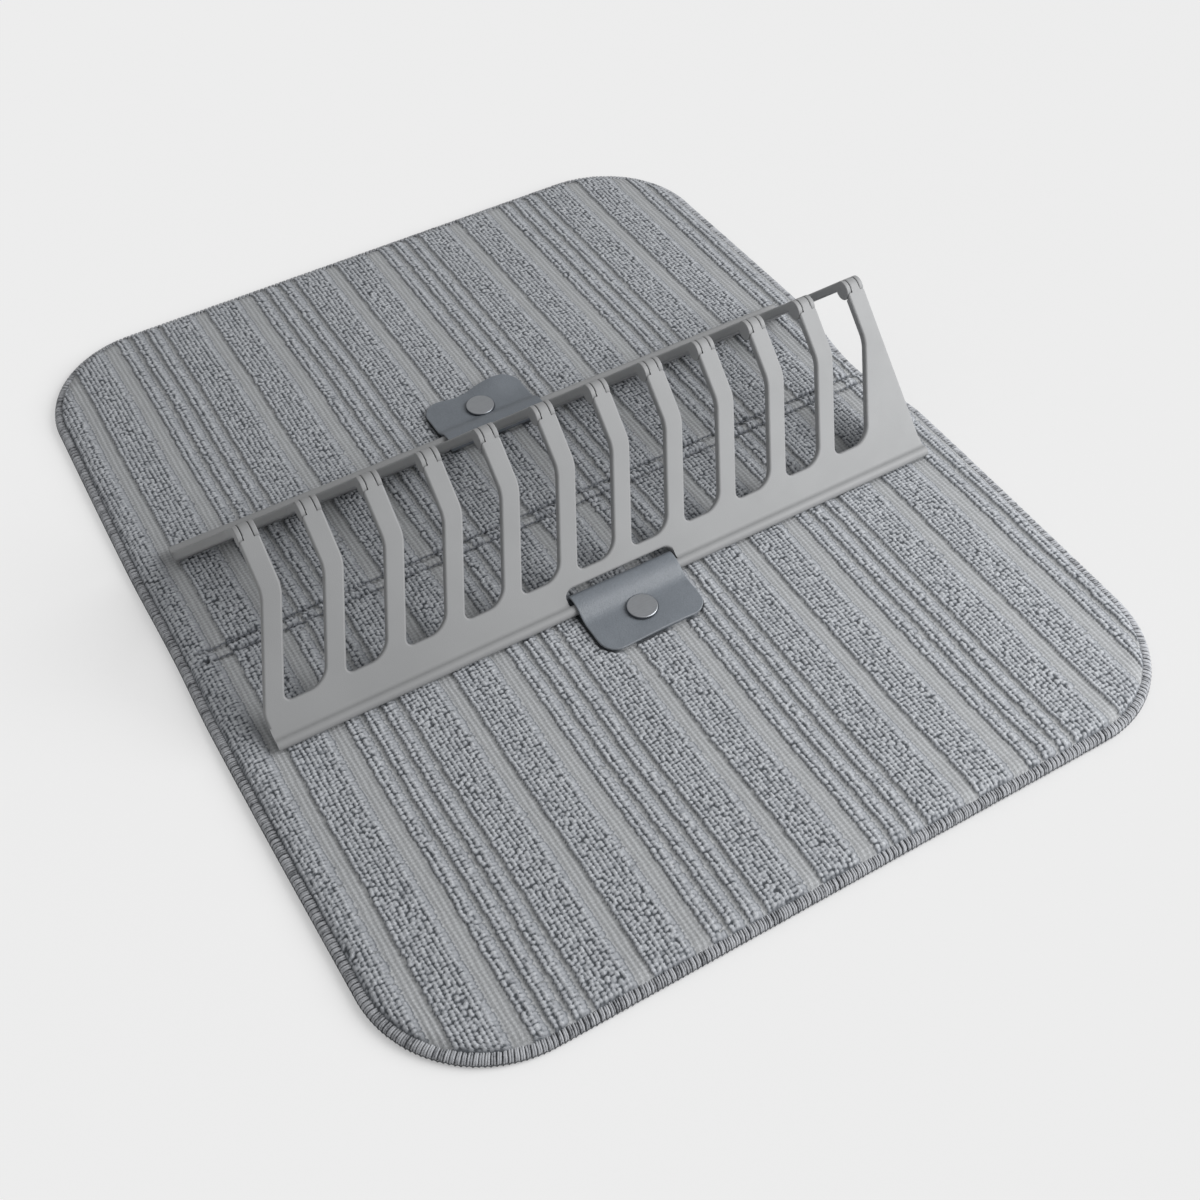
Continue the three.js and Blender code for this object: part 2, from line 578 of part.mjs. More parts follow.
function snapSocket() {
  const roof = SOCKET_TOP - SOCKET_ROOF;
  return turned([
    [POST_BORE_RADIUS, SOCKET_TOP],
    [POST_BORE_RADIUS, roof],
    [SOCKET_CAVITY_RADIUS, roof],
    [SOCKET_CAVITY_RADIUS, SOCKET_BOTTOM],
    [SOCKET_RADIUS, SOCKET_BOTTOM],
    [SOCKET_RADIUS, SOCKET_TOP],
    [POST_BORE_RADIUS, SOCKET_TOP],
  ], -SNAP_PLACE);
}

function snapStud() {
  const flangeTop = STUD_BOTTOM + STUD_FLANGE_THICKNESS;
  const ballWaist = (flangeTop + BALL_TOP) / 2;
  return turned([
    [0, BALL_TOP - BALL_ROOF],
    [POST_BORE_RADIUS, BALL_TOP - BALL_ROOF],
    [POST_BORE_RADIUS, STUD_BOTTOM],
    [SOCKET_RADIUS, STUD_BOTTOM],
    [SOCKET_RADIUS, flangeTop],
    [BALL_NECK_RADIUS, flangeTop],
    [BALL_NECK_RADIUS, ballWaist],
    [BALL_RADIUS, (ballWaist + BALL_TOP) / 2],
    [BALL_NECK_RADIUS, BALL_TOP],
    [0, BALL_TOP],
  ], -SNAP_PLACE);
}

function snapPost() {
  const washerBottom = WASHER_TOP - WASHER_THICKNESS;
  const top = BALL_TOP - BALL_ROOF - SNAP_GAP;
  return turned([
    [0, washerBottom],
    [WASHER_RADIUS, washerBottom],
    [WASHER_RADIUS, WASHER_TOP],
    [POST_RADIUS, WASHER_TOP],
    [POST_RADIUS, top],
    [0, top],
  ], -SNAP_PLACE);
}

function clothMaterial(color) {
  return new THREE.MeshStandardMaterial({ color, roughness: 0.95, metalness: 0 });
}

function plasticMaterial() {
  return new THREE.MeshStandardMaterial({ color: 0xa6a8a8, roughness: 0.55, metalness: 0 });
}

function leatherMaterial() {
  return new THREE.MeshStandardMaterial({ color: 0x68717c, roughness: 0.6, metalness: 0 });
}

function metalMaterial() {
  return new THREE.MeshStandardMaterial({ color: 0x9b9c9e, roughness: 0.35, metalness: 0.9 });
}

function addPiece(group, name, solid, material) {
  const mesh = new THREE.Mesh(toGeometry(solid), material);
  mesh.name = name;
  group.add(mesh);
  return mesh;
}

function addHalf(object, name, isRear) {
  const half = new THREE.Group();
  half.rotation.z = isRear ? Math.PI : 0;
  addPiece(half, `${name}_top_cloth`, topCloth(isRear), clothMaterial(0x8f9498));
  addPiece(half, `${name}_foam_core`, foamCore(), clothMaterial(0xd8d8d4));
  addPiece(half, `${name}_backing_cloth`, backingCloth(), clothMaterial(0x83888c));
  addPiece(half, `${name}_overlock_edging`, overlockEdging(), clothMaterial(0x858990));
  addPiece(half, `${name}_seam_thread`, seamThread(), clothMaterial(0x6e7479));
  addPiece(half, `${name}_strap`, strap(), leatherMaterial());
  addPiece(half, `${name}_snap_cap`, snapCap(), metalMaterial());
  addPiece(half, `${name}_snap_socket`, snapSocket(), metalMaterial());
  addPiece(half, `${name}_snap_stud`, snapStud(), metalMaterial());
  addPiece(half, `${name}_snap_post`, snapPost(), metalMaterial());
  const panel = addPiece(half, `${name}_rack_panel`, isRear ? rearPanel() : frontPanel(), plasticMaterial());
  panel.position.set(0, -RACK_HALF_BASE, PIVOT_HEIGHT);
  panel.rotation.x = PANEL_ANGLE;
  object.add(half);
}

const object = new THREE.Group();
addHalf(object, 'front', false);
addHalf(object, 'rear', true);

export default object;
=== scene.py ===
# %% [markdown]
# # A dish drying mat with a folding plate rack
# The mat is two padded halves joined by a stitched fold. The rack is two moulded combs that lean on each
# other in an A, and each foot is held to the mat by a leather strap with a press stud. The imported CAD model
# is the fixed frame of the scene: every piece that is made here goes where the CAD says, in metres. The
# combs, straps and caps move with their bodies.

# %% The frame
import math

import bpy
import numpy as np
from mathutils import Matrix, Vector


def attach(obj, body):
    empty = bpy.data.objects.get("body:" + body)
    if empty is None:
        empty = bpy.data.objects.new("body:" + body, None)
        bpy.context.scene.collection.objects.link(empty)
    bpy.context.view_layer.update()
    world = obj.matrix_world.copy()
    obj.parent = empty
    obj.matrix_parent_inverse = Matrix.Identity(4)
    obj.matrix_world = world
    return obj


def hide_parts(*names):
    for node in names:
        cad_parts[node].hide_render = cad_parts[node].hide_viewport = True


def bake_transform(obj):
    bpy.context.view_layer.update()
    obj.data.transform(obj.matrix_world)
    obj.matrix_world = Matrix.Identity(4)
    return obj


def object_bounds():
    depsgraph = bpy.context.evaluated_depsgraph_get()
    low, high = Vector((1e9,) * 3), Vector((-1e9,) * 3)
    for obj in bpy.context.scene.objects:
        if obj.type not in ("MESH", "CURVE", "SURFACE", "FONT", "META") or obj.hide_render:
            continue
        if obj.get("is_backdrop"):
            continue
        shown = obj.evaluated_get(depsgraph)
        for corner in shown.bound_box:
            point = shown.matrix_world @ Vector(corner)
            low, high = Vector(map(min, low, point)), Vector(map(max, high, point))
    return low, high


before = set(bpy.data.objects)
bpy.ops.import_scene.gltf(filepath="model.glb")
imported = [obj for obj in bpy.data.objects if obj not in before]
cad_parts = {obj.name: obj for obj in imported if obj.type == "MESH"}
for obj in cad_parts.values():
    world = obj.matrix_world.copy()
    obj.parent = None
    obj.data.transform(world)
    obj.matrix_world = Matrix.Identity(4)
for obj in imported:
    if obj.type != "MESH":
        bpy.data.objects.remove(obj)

cad_low, cad_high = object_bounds()

# %% [markdown]
# ## The camera
# The camera stands in front of the mat, a little to the left and high up. Its place and tilt were found by
# matching the mat's corners and the rack's ends, so the lens, the point it looks at and its slight roll are
# numbers that belong together.

# %% Camera
CAMERA_PLACE = Vector((-0.2483, -0.4906, 0.5650))
CAMERA_TARGET = Vector((-0.0102, -0.0605, 0.0))
CAMERA_ROLL_DEGREES = -1.8875
CAMERA_LENS_MM = 46.27

bpy.ops.object.camera_add(location=CAMERA_PLACE)
camera = bpy.context.object
camera.name = "camera"
camera.data.lens = CAMERA_LENS_MM
camera.data.sensor_width = 36
ahead = (CAMERA_TARGET - CAMERA_PLACE).normalized()
right = ahead.cross(Vector((0, 0, 1))).normalized()
up = right.cross(ahead)
roll = math.radians(CAMERA_ROLL_DEGREES)
rolled_right = math.cos(roll) * right + math.sin(roll) * up
rolled_up = math.cos(roll) * up - math.sin(roll) * right
camera.rotation_euler = Matrix((rolled_right, rolled_up, -ahead)).transposed().to_euler()
bpy.context.scene.camera = camera
print("camera looks along", [round(c, 3) for c in ahead])

# %% [markdown]
# ## Light and table
# The photograph has one large soft light to the right of the camera and a bright room all round it. The
# light is a square lamp only about a metre away, so the mat is clearly brighter at its near right corner
# than at its far left one. The world fills in the rest. In the middle of the mat the two together light a
# flat surface at a level of 1, so a colour renders about as it is written.

# %% Light and world
WORLD_LEVEL = 0.40
LAMP_LEVEL = 0.62
LAMP_DISTANCE = 1.10
LAMP_SIZE = 0.80
LAMP_HEIGHT_DEGREES = 38
LAMP_SIDE = Vector((0.78, -0.63, 0))


def linear(red, green, blue):
    """A colour as it is read off a screen, 0 to 255, in the linear numbers that a shader takes."""
    shares = [c / 255 for c in (red, green, blue)]
    return (*[c / 12.92 if c <= 0.04045 else ((c + 0.055) / 1.055)**2.4 for c in shares], 1)


bpy.context.scene.view_settings.view_transform = "Standard"
world = bpy.context.scene.world or bpy.data.worlds.new("room")
bpy.context.scene.world = world
world.use_nodes = True
world.node_tree.nodes["Background"].inputs["Color"].default_value = (1, 1, 1, 1)
world.node_tree.nodes["Background"].inputs["Strength"].default_value = WORLD_LEVEL

climb = math.radians(LAMP_HEIGHT_DEGREES)
to_lamp = LAMP_SIDE.normalized() * math.cos(climb) + Vector((0, 0, math.sin(climb)))
bpy.ops.object.light_add(type="AREA", location=to_lamp * LAMP_DISTANCE)
lamp = bpy.context.object
lamp.name = "soft_lamp"
lamp.data.size = LAMP_SIZE
lamp.data.energy = LAMP_LEVEL * math.pi**2 * LAMP_DISTANCE**2 / math.sin(climb)
lamp.rotation_euler = (-to_lamp).to_track_quat("-Z", "Y").to_euler()
print("lamp energy", round(lamp.data.energy, 1))

# %% [markdown]
# ## A few helpers
# Materials here are small node trees. These helpers add a node, set its inputs and link it, so that each
# finish below reads as the list of what makes it. A number that is the same all over a surface is set on
# the shader's own socket.

# %% Node helpers


class Finish:
    """A material and its Principled shader, with short ways to add the nodes that drive it."""

    def __init__(self, name, **constants):
        self.material = bpy.data.materials.new(name)
        self.material.use_nodes = True
        self.nodes = self.material.node_tree.nodes
        self.links = self.material.node_tree.links
        self.shader = self.nodes["Principled BSDF"]
        for socket, value in constants.items():
            self.shader.inputs[socket.replace("_", " ")].default_value = value
        self.place = self.add("ShaderNodeTexCoord").outputs["Object"]

    def add(self, kind, **inputs):
        node = self.nodes.new(kind)
        for socket, value in inputs.items():
            self.feed(node.inputs[socket.replace("_", " ")], value)
        return node

    def feed(self, socket, value):
        if isinstance(value, bpy.types.NodeSocket):
            self.links.new(value, socket)
        else:
            socket.default_value = value

    def mapped(self, scale):
        return self.add("ShaderNodeMapping", Vector=self.place, Scale=scale).outputs[0]

    def noise(self, scale, detail=2.0, roughness=0.5, source=None):
        node = self.add("ShaderNodeTexNoise", Vector=source or self.place, Scale=scale, Detail=detail,
                        Roughness=roughness)
        return node.outputs["Fac"]

    def attribute(self, name):
        node = self.nodes.new("ShaderNodeAttribute")
        node.attribute_name = name
        return node.outputs["Fac"]

    def maths(self, operation, first, second=0.5, third=0.5):
        node = self.nodes.new("ShaderNodeMath")
        node.operation = operation
        for socket, value in zip(node.inputs, (first, second, third)):
            self.feed(socket, value)
        return node.outputs[0]

    def tones(self, value, stops):
        """A ramp of colours, which are given as they are read off a screen."""
        node = self.add("ShaderNodeValToRGB", Fac=value)
        elements = node.color_ramp.elements
        while len(elements) < len(stops):
            elements.new(0.5)
        for element, (position, color) in zip(elements, stops):
            element.position = position
            element.color = linear(*color)
        return node.outputs["Color"]

    def mix(self, share, first, second, blend="MIX"):
        node = self.nodes.new("ShaderNodeMix")
        node.data_type = "RGBA"
        node.blend_type = blend
        self.feed(node.inputs[0], share)
        self.feed(node.inputs[6], first)
        self.feed(node.inputs[7], second)
        return node.outputs[2]

    def between(self, value, low, high):
        node = self.nodes.new("ShaderNodeMapRange")
        for socket, number in zip(node.inputs, (value, 0.0, 1.0, low, high)):
            self.feed(socket, number)
        return node.outputs[0]

    def bump(self, height, distance, under=None):
        node = self.add("ShaderNodeBump", Height=height, Distance=distance, Strength=1.0)
        if under is not None:
            self.feed(node.inputs["Normal"], under)
        return node.outputs[0]

    def color(self, value):
        self.feed(self.shader.inputs["Base Color"], value)

    def shade(self, value, stops):
        self.color(self.tones(value, stops))

    def set(self, socket, value):
        self.feed(self.shader.inputs[socket], value)

    def wear(self, *pieces):
        for piece in pieces:
            piece.data.materials.clear()
            piece.data.materials.append(self.material)


# %% [markdown]
# ## The table
# The photograph's background is one even pale grey, with only a soft shadow beside the mat. The table is a
# plain plane of that colour. It is lit like everything else and takes the object's shadow. Because the lamp
# is near, its light would fade across the table, so the camera also sees a faint glow there that makes up
# for just that, and the table comes out even. The lamp's light at a place is reckoned from four points of
# the lamp.

# %% Table
TABLE_SIZE = 6
TABLE_COLOR = linear(237, 237, 237)
SHADOW_SHARE = 0.74
LAMP_POINT_SHARE = 0.28

bpy.ops.mesh.primitive_plane_add(size=TABLE_SIZE)
table = bpy.context.object
table.name = "table"
table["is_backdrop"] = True
table_finish = Finish("table", Roughness=0.9, Specular_IOR_Level=0.0)
table_finish.shade(table_finish.noise(3), [(0, (236, 236, 236)), (1, (238, 238, 238))])


def vector_maths(operation, first, second, output):
    node = table_finish.nodes.new("ShaderNodeVectorMath")
    node.operation = operation
    table_finish.feed(node.inputs[0], first)
    table_finish.feed(node.inputs[1], second)
    return node.outputs[output]


whole_light = WORLD_LEVEL
lamp_across, lamp_along, _ = lamp.rotation_euler.to_matrix().transposed()
for across, along in ((-1, -1), (-1, 1), (1, -1), (1, 1)):
    point = lamp.location + LAMP_POINT_SHARE * LAMP_SIZE * (across * lamp_across + along * lamp_along)
    from_point = vector_maths("SUBTRACT", table_finish.place, point, "Vector")
    reach = vector_maths("LENGTH", from_point, (0, 0, 0), "Value")
    facing = vector_maths("DOT_PRODUCT", from_point, -to_lamp, "Value")
    fade = table_finish.maths("DIVIDE", facing, table_finish.maths("POWER", reach, 4.0))
    quarter = LAMP_LEVEL * LAMP_DISTANCE**2 / math.sin(climb) * point.z / 4
    whole_light = table_finish.maths("MULTIPLY_ADD", fade, quarter, whole_light)
GLOW_SHARE = 1 - SHADOW_SHARE
glow = table_finish.maths("MULTIPLY_ADD", whole_light, -SHADOW_SHARE / GLOW_SHARE, 1 / GLOW_SHARE)
even_light = table_finish.add("ShaderNodeEmission", Color=TABLE_COLOR,
                               Strength=table_finish.maths("MAXIMUM", glow, 0.0))
seen = table_finish.nodes.new("ShaderNodeLightPath").outputs
looked_at = table_finish.maths("MAXIMUM", seen["Is Camera Ray"], seen["Is Glossy Ray"])
looked_at = table_finish.maths("MAXIMUM", looked_at, seen["Is Transmission Ray"])
table_mix = table_finish.nodes.new("ShaderNodeMixShader")
table_finish.feed(table_mix.inputs[0], table_finish.maths("MULTIPLY", looked_at, GLOW_SHARE))
table_finish.feed(table_mix.inputs[1], table_finish.shader.outputs[0])
table_finish.feed(table_mix.inputs[2], even_light.outputs[0])
table_finish.feed(table_finish.nodes["Material Output"].inputs["Surface"], table_mix.outputs[0])
table_finish.wear(table)
print("shadow share", SHADOW_SHARE)

# %% [markdown]
# ## Modelling helpers
# The combs, straps and caps start as primitives and are shaped in edit mode. An operator acts on all that
# is selected, so each step first deselects everything and then selects what it needs, by its place. The
# pieces of cloth and thread are worked out point by point and built from arrays.

# %% Modelling helpers
MM = 0.001


def only(obj):
    """Makes obj the one selected and active object, in object mode."""
    if bpy.context.object and bpy.context.object.mode != "OBJECT":
        bpy.ops.object.mode_set(mode="OBJECT")
    bpy.ops.object.select_all(action="DESELECT")
    obj.select_set(True)
    bpy.context.view_layer.objects.active = obj
    return obj


def edit(obj, kind, test):
    """Opens obj in edit mode with only what passes the test selected: its vertices, edges or faces."""
    only(obj)
    mesh = obj.data
    groups = {"VERT": mesh.vertices, "EDGE": mesh.edges, "FACE": mesh.polygons}
    for group in groups.values():
        group.foreach_set("select", [False] * len(group))
    for item in groups[kind]:
        item.select = bool(test(item))
    bpy.context.tool_settings.mesh_select_mode = [kind == k for k in ("VERT", "EDGE", "FACE")]
    bpy.ops.object.mode_set(mode="EDIT")


def apply_modifier(obj, kind, **settings):
    only(obj)
    modifier = obj.modifiers.new(kind.lower(), kind)
    for name, value in settings.items():
        setattr(modifier, name, value)
    bpy.ops.object.modifier_apply(modifier=modifier.name)


def finish_place(obj, name):
    """Puts a piece's place, turn and size in its mesh, and names it."""
    only(obj)
    bpy.ops.object.transform_apply(location=True, rotation=True, scale=True)
    obj.name = obj.data.name = name
    return obj


def join(parts):
    only(parts[0])
    for part in parts:
        part.select_set(True)
    if len(parts) > 1:
        bpy.ops.object.join()
    return parts[0]


def combine(body, operation, tools):
    """Unites body with other shapes, or cuts them away."""
    tool = join(tools)
    apply_modifier(body, "BOOLEAN", operation=operation, solver="EXACT", object=tool)
    bpy.data.objects.remove(tool, do_unlink=True)


def face_out(obj):
    edit(obj, "FACE", lambda face: True)
    bpy.ops.mesh.normals_make_consistent(inside=False)
    bpy.ops.object.mode_set(mode="OBJECT")


def soften(obj, width, degrees=40):
    """Rounds the edges that are sharper than the angle."""
    apply_modifier(obj, "BEVEL", width=width * MM, segments=3, limit_method="ANGLE",
                   angle_limit=math.radians(degrees), use_clamp_overlap=False)


def smooth(obj, degrees, weight):
    """Smooth shading up to the angle, in which large faces count for more."""
    only(obj)
    bpy.ops.object.shade_smooth_by_angle(angle=math.radians(degrees))
    apply_modifier(obj, "WEIGHTED_NORMAL", keep_sharp=True, weight=weight)


def draw(points):
    """Draws a line as by hand: a vertex is extruded from point to point. All of it stays selected."""
    bpy.ops.object.select_all(action="DESELECT")
    bpy.ops.mesh.primitive_plane_add(size=MM)
    obj = bpy.context.object
    edit(obj, "VERT", lambda vertex: True)
    bpy.ops.mesh.merge(type="CENTER")
    here = Vector((0, 0, 0))
    for step, point in enumerate(points):
        there = Vector(point) * MM
        if step:
            bpy.ops.mesh.extrude_region_move(TRANSFORM_OT_translate={"value": there - here})
        else:
            bpy.ops.transform.translate(value=there - here)
        here = there
    bpy.ops.mesh.select_all(action="SELECT")
    return obj


def trace(corners):
    """A flat face in the XY plane, drawn round its outline from corner to corner."""
    obj = draw([(*corner[:2], 0) for corner in [*corners, corners[0]]])
    bpy.ops.mesh.remove_doubles(threshold=0.01 * MM)
    bpy.ops.mesh.edge_face_add()
    bpy.ops.object.mode_set(mode="OBJECT")
    return obj


def round_corners(obj, corners, segments=8):
    """Bevels the corners of a traced outline that have a radius, one radius and one angle at a time."""
    groups = {}
    for i, corner in enumerate(corners):
        if len(corner) < 3 or not corner[2]:
            continue
        here = Vector(corner[:2])
        back = (Vector(corners[i - 1][:2]) - here).normalized()
        on = (Vector(corners[(i + 1) % len(corners)][:2]) - here).normalized()
        half_angle = math.acos(max(-1, min(1, back.dot(on)))) / 2
        groups.setdefault(round(corner[2] / math.tan(half_angle), 4), []).append(here * MM)
    for reach, places in groups.items():
        edit(obj, "VERT", lambda v: any((v.co.xy - p).length < 0.02 * MM for p in places))
        bpy.ops.mesh.bevel(offset=reach * MM, segments=segments, affect="VERTICES", clamp_overlap=False)
        bpy.ops.object.mode_set(mode="OBJECT")


def thicken(obj, thickness):
    """Extrudes a flat face into a slab whose other side is at that height."""
    edit(obj, "FACE", lambda face: True)
    bpy.ops.mesh.extrude_region_move(TRANSFORM_OT_translate={"value": (0, 0, thickness * MM)})
    bpy.ops.object.mode_set(mode="OBJECT")
    face_out(obj)


def array_mesh(name, vertices, corners, sizes):
    """A new object from points in millimetres. corners holds the points of all faces, sizes their numbers."""
    mesh = bpy.data.meshes.new(name)
    mesh.vertices.add(len(vertices))
    mesh.vertices.foreach_set("co", (vertices * MM).astype(np.float32).ravel())
    mesh.loops.add(len(corners))
    mesh.loops.foreach_set("vertex_index", corners.astype(np.int32))
    mesh.polygons.add(len(sizes))
    mesh.polygons.foreach_set("loop_start", (np.cumsum(sizes) - sizes).astype(np.int32))
    mesh.update(calc_edges=True)
    mesh.validate()
    obj = bpy.data.objects.new(name, mesh)
    bpy.context.scene.collection.objects.link(obj)
    return obj


def mesh_piece(name, vertices, faces):
    """The same from a list of faces."""
    return array_mesh(name, vertices, np.concatenate(faces), [len(face) for face in faces])


def store(obj, name, values):
    """Keeps a number at each point, for a finish to read."""
    layer = obj.data.attributes.new(name, "FLOAT", "POINT")
    layer.data.foreach_set("value", np.asarray(values, np.float32))


# %% [markdown]
# ## The mat's outline
# The mat is a rectangle with generous round corners. Its long sides bow out a little. The stitched fold
# gathers the cloth, which draws the right side in, most of all just behind the fold, and the left side
# hardly at all. Two small functions describe it: how wide the mat is at a given depth, and how far inside
# the edge a point lies. The pad, the backing and the edging all use them.

# %% Outline of the mat, in millimetres
HALF_WIDTH, HALF_DEPTH = 200.0, 251.0
CORNER_RADIUS = 60.0
PINCH_DEPTH, PINCH_PLACE, PINCH_FRONT, PINCH_REAR = 7.6, 11.0, 52.0, 68.0
LEFT_PINCH_SHARE = 0.12
BOW, BOW_LENGTH = 2.6, 190.0
RIM_SAMPLES, TANGENT_REACH = 20001, 0.4
PILE_TOP, CLOTH_TOP = 8.4, 6.8


def wave(turns):
    """From 1 down to 0 and back, once in every whole turn."""
    return 0.5 + 0.5 * np.cos(2 * math.pi * turns)


def bell(distance, reach):
    """1 where the distance is 0, falling away smoothly at about the reach."""
    return np.exp(-(distance / reach)**2)


def ease(value):
    """From 0 to 1 with a soft start and end, and level outside them."""
    value = np.clip(value, 0, 1)
    return value * value * (3 - 2 * value)


def pinch(y, side):
    """How far that side, -1 or 1, is drawn in at y: most just behind the fold, and for longer to the rear."""
    past = y - PINCH_PLACE
    share = np.clip(np.abs(past) / np.where(past > 0, PINCH_REAR, PINCH_FRONT), 0, 1)
    return PINCH_DEPTH * wave(share / 2) * np.where(np.asarray(side) < 0, LEFT_PINCH_SHARE, 1.0)


def bow(y):
    """How far both sides stand out at y."""
    return BOW * np.cos(np.clip(np.abs(y) / BOW_LENGTH, 0, 1) * math.pi / 2)


def half_width_at(y, inset, side):
    """Width from the middle to that side at y, on the line that runs inset inside the edge."""
    past = np.clip(np.abs(y) - (HALF_DEPTH - CORNER_RADIUS), 0, CORNER_RADIUS - inset)
    in_corner = np.sqrt((CORNER_RADIUS - inset)**2 - past**2) - (CORNER_RADIUS - inset)
    return HALF_WIDTH - inset + bow(y) - pinch(y, side) + in_corner


def inset_of(x, y):
    """How far inside the mat's edge each point lies."""
    past_x = np.abs(x) - (HALF_WIDTH - CORNER_RADIUS)
    past_y = np.abs(y) - (HALF_DEPTH - CORNER_RADIUS)
    in_corner = CORNER_RADIUS - np.hypot(past_x, past_y)
    from_sides = np.minimum(HALF_WIDTH + bow(y) - pinch(y, x) - np.abs(x), HALF_DEPTH - np.abs(y))
    return np.where((past_x > 0) & (past_y > 0), in_corner, from_sides)


def rim_points(step):
    """Points along the mat's edge at an even step, with the outward direction at each."""
    fine = np.linspace(-HALF_DEPTH, HALF_DEPTH, RIM_SAMPLES)
    right_side = np.stack([half_width_at(fine, 0, 1), fine], 1)
    left_side = np.stack([-half_width_at(-fine, 0, -1), -fine], 1)
    loop = np.concatenate([right_side, left_side])
    lengths = np.hypot(*np.roll(loop, -1, 0).T - loop.T)
    along = np.concatenate([[0], np.cumsum(lengths)])
    closed = np.concatenate([loop, loop[:1]])
    count = round(along[-1] / step)
    at = (np.arange(count) + 0.5) * along[-1] / count
    place = [np.stack([np.interp((at + d) % along[-1], along, closed[:, k]) for k in (0, 1)], 1)
             for d in (-TANGENT_REACH, 0, TANGENT_REACH)]
    tangent = place[2] - place[0]
    tangent /= np.hypot(*tangent.T)[:, None]
    return place[1], np.stack([tangent[:, 1], -tangent[:, 0]], 1), tangent


print("rim length in mm:", round(len(rim_points(1.0)[0])))

# %% [markdown]
# ## The terry cloth
# The top cloth is one sheet that is looped pile in stripes and a smooth ribbed weave between them. The pile
# is what the eye notices, so each loop is real geometry: a leaning grain about 2.2 mm wide, one every 1.8
# mm along its column, and neighbouring columns keep roughly in step. In swirls they are looser. The nap
# lies over to the right, so each band ends there in one more column of low loops that have fallen over the
# smooth stripe. A dense grid of points is laid over the mat and each point is lifted by the nearest loops.
# This kind of sculpting in code keeps every loop in its column, which a cloth simulation would not.

# %% Stripes and loops
WIDE_BAND, THIN_BAND, THIN_GAP = 18.0, 5.0, 4.0
WIDE_COLUMNS, THIN_COLUMNS = 8, 2
RIB_AFTER_WIDE, RIB_BEFORE_WIDE, FIRST_WIDE = 10.0, 9.0, -13.0
THIN_BANDS = 3
STRIPE_REPEAT = 2 * WIDE_BAND + RIB_AFTER_WIDE + RIB_BEFORE_WIDE + THIN_BANDS * (THIN_BAND + THIN_GAP)
LOOP_PITCH = 1.8
LOOP_ROOT = 0.50
LAIN_PLACE, LAIN_HALF, LAIN_HEIGHT, LAIN_LEAN = 0.8, 1.45, 0.60, 0.45
LOOP_SHIFT, SWIRL_SHIFT, COLUMN_SHIFT = 0.09, 0.13, 0.12
LOOP_ASIDE, SWIRL_ASIDE = 0.11, 0.17
LOOP_TURN, TURN_SPREAD, SWIRL_TURN = 0.30, 0.20, 0.42
LOOP_HEIGHT, HEIGHT_SPREAD, LEAST_HEIGHT, MOST_HEIGHT = 0.96, 0.06, 0.75, 1.08
LOW_LOOPS, LOW_HEIGHT = 0.012, 0.70
LOOP_LONG, LOOP_WIDE = (0.98, 1.22), (1.04, 1.26)
DOME_POWER, LAIN_POWER = 0.36, 0.24


def stripe_bands():
    """(left edge, width, number of loop columns) of every band of pile, from left to right."""
    bands = []
    for repeat in range(-4, 4):
        start = FIRST_WIDE + repeat * STRIPE_REPEAT
        thin = start + WIDE_BAND + RIB_AFTER_WIDE
        bands.append((start, WIDE_BAND, WIDE_COLUMNS))
        bands += [(thin + k * (THIN_BAND + THIN_GAP), THIN_BAND, THIN_COLUMNS) for k in range(THIN_BANDS)]
        bands.append((thin + THIN_BANDS * (THIN_BAND + THIN_GAP), WIDE_BAND, WIDE_COLUMNS))
    return bands


bands = stripe_bands()
columns = np.array([(left + (k + 0.5) * width / count, width / count / 2, 0)
                    for left, width, count in bands for k in range(count)]
                   + [(left + width + LAIN_PLACE, LAIN_HALF, 1) for left, width, _ in bands])
columns = columns[np.argsort(columns[:, 0])]
band_left = np.array([left for left, _, _ in bands])
band_right = band_left + np.array([width for _, width, _ in bands])

luck = np.random.default_rng(11)
SPARE_ROWS, ROWS_BEFORE, ROW_SWAY = 8, 3, 0.35
loop_rows = int(2 * HALF_DEPTH / LOOP_PITCH) + SPARE_ROWS
table_shape = (len(columns), loop_rows)
i, k = np.meshgrid(np.arange(len(columns)), np.arange(loop_rows), indexing="ij")
swirl = (0.5 + 0.5 * np.sin(0.9 * i + 0.11 * k) * np.sin(0.13 * k - 0.4 * i))**2
column_shift = 0.5 + luck.normal(0, COLUMN_SHIFT, (len(columns), 1))
loop_shift = column_shift + luck.normal(0, 1, table_shape) * (LOOP_SHIFT + SWIRL_SHIFT * swirl)
loop_aside = luck.normal(0, 1, table_shape) * (LOOP_ASIDE + SWIRL_ASIDE * swirl)
loop_height = luck.normal(LOOP_HEIGHT, HEIGHT_SPREAD, table_shape)
loop_height = np.clip(loop_height, LEAST_HEIGHT, MOST_HEIGHT)
loop_height[luck.uniform(0, 1, table_shape) < LOW_LOOPS] = LOW_HEIGHT
loop_turn = LOOP_TURN + luck.normal(0, 1, table_shape) * (TURN_SPREAD + SWIRL_TURN * swirl)
loop_long = luck.uniform(*LOOP_LONG, table_shape)
loop_wide = luck.uniform(*LOOP_WIDE, table_shape)
print("loops on the mat:", loop_height.size)


def waver(x, y):
    """Sideways wander of the stripes, with a small step where the seam gathers the cloth."""
    slow = 0.30 * np.sin(y / 31 + x / 97) + 0.16 * np.sin(y / 13.7 + x / 41 + 1.3)
    quick = 0.13 * np.sin(y / 3.1 + x * 0.7) + 0.08 * np.sin(y / 1.73 + x * 0.9 + 2)
    return slow + quick + 0.5 * np.tanh(y / 2.5)


def band_edges(x):
    """How far each point lies inside its band, from the left edge and from the right one."""
    band = np.clip(np.searchsorted(band_left, x, side="right") - 1, 0, len(bands) - 1)
    return x - band_left[band], band_right[band] - x


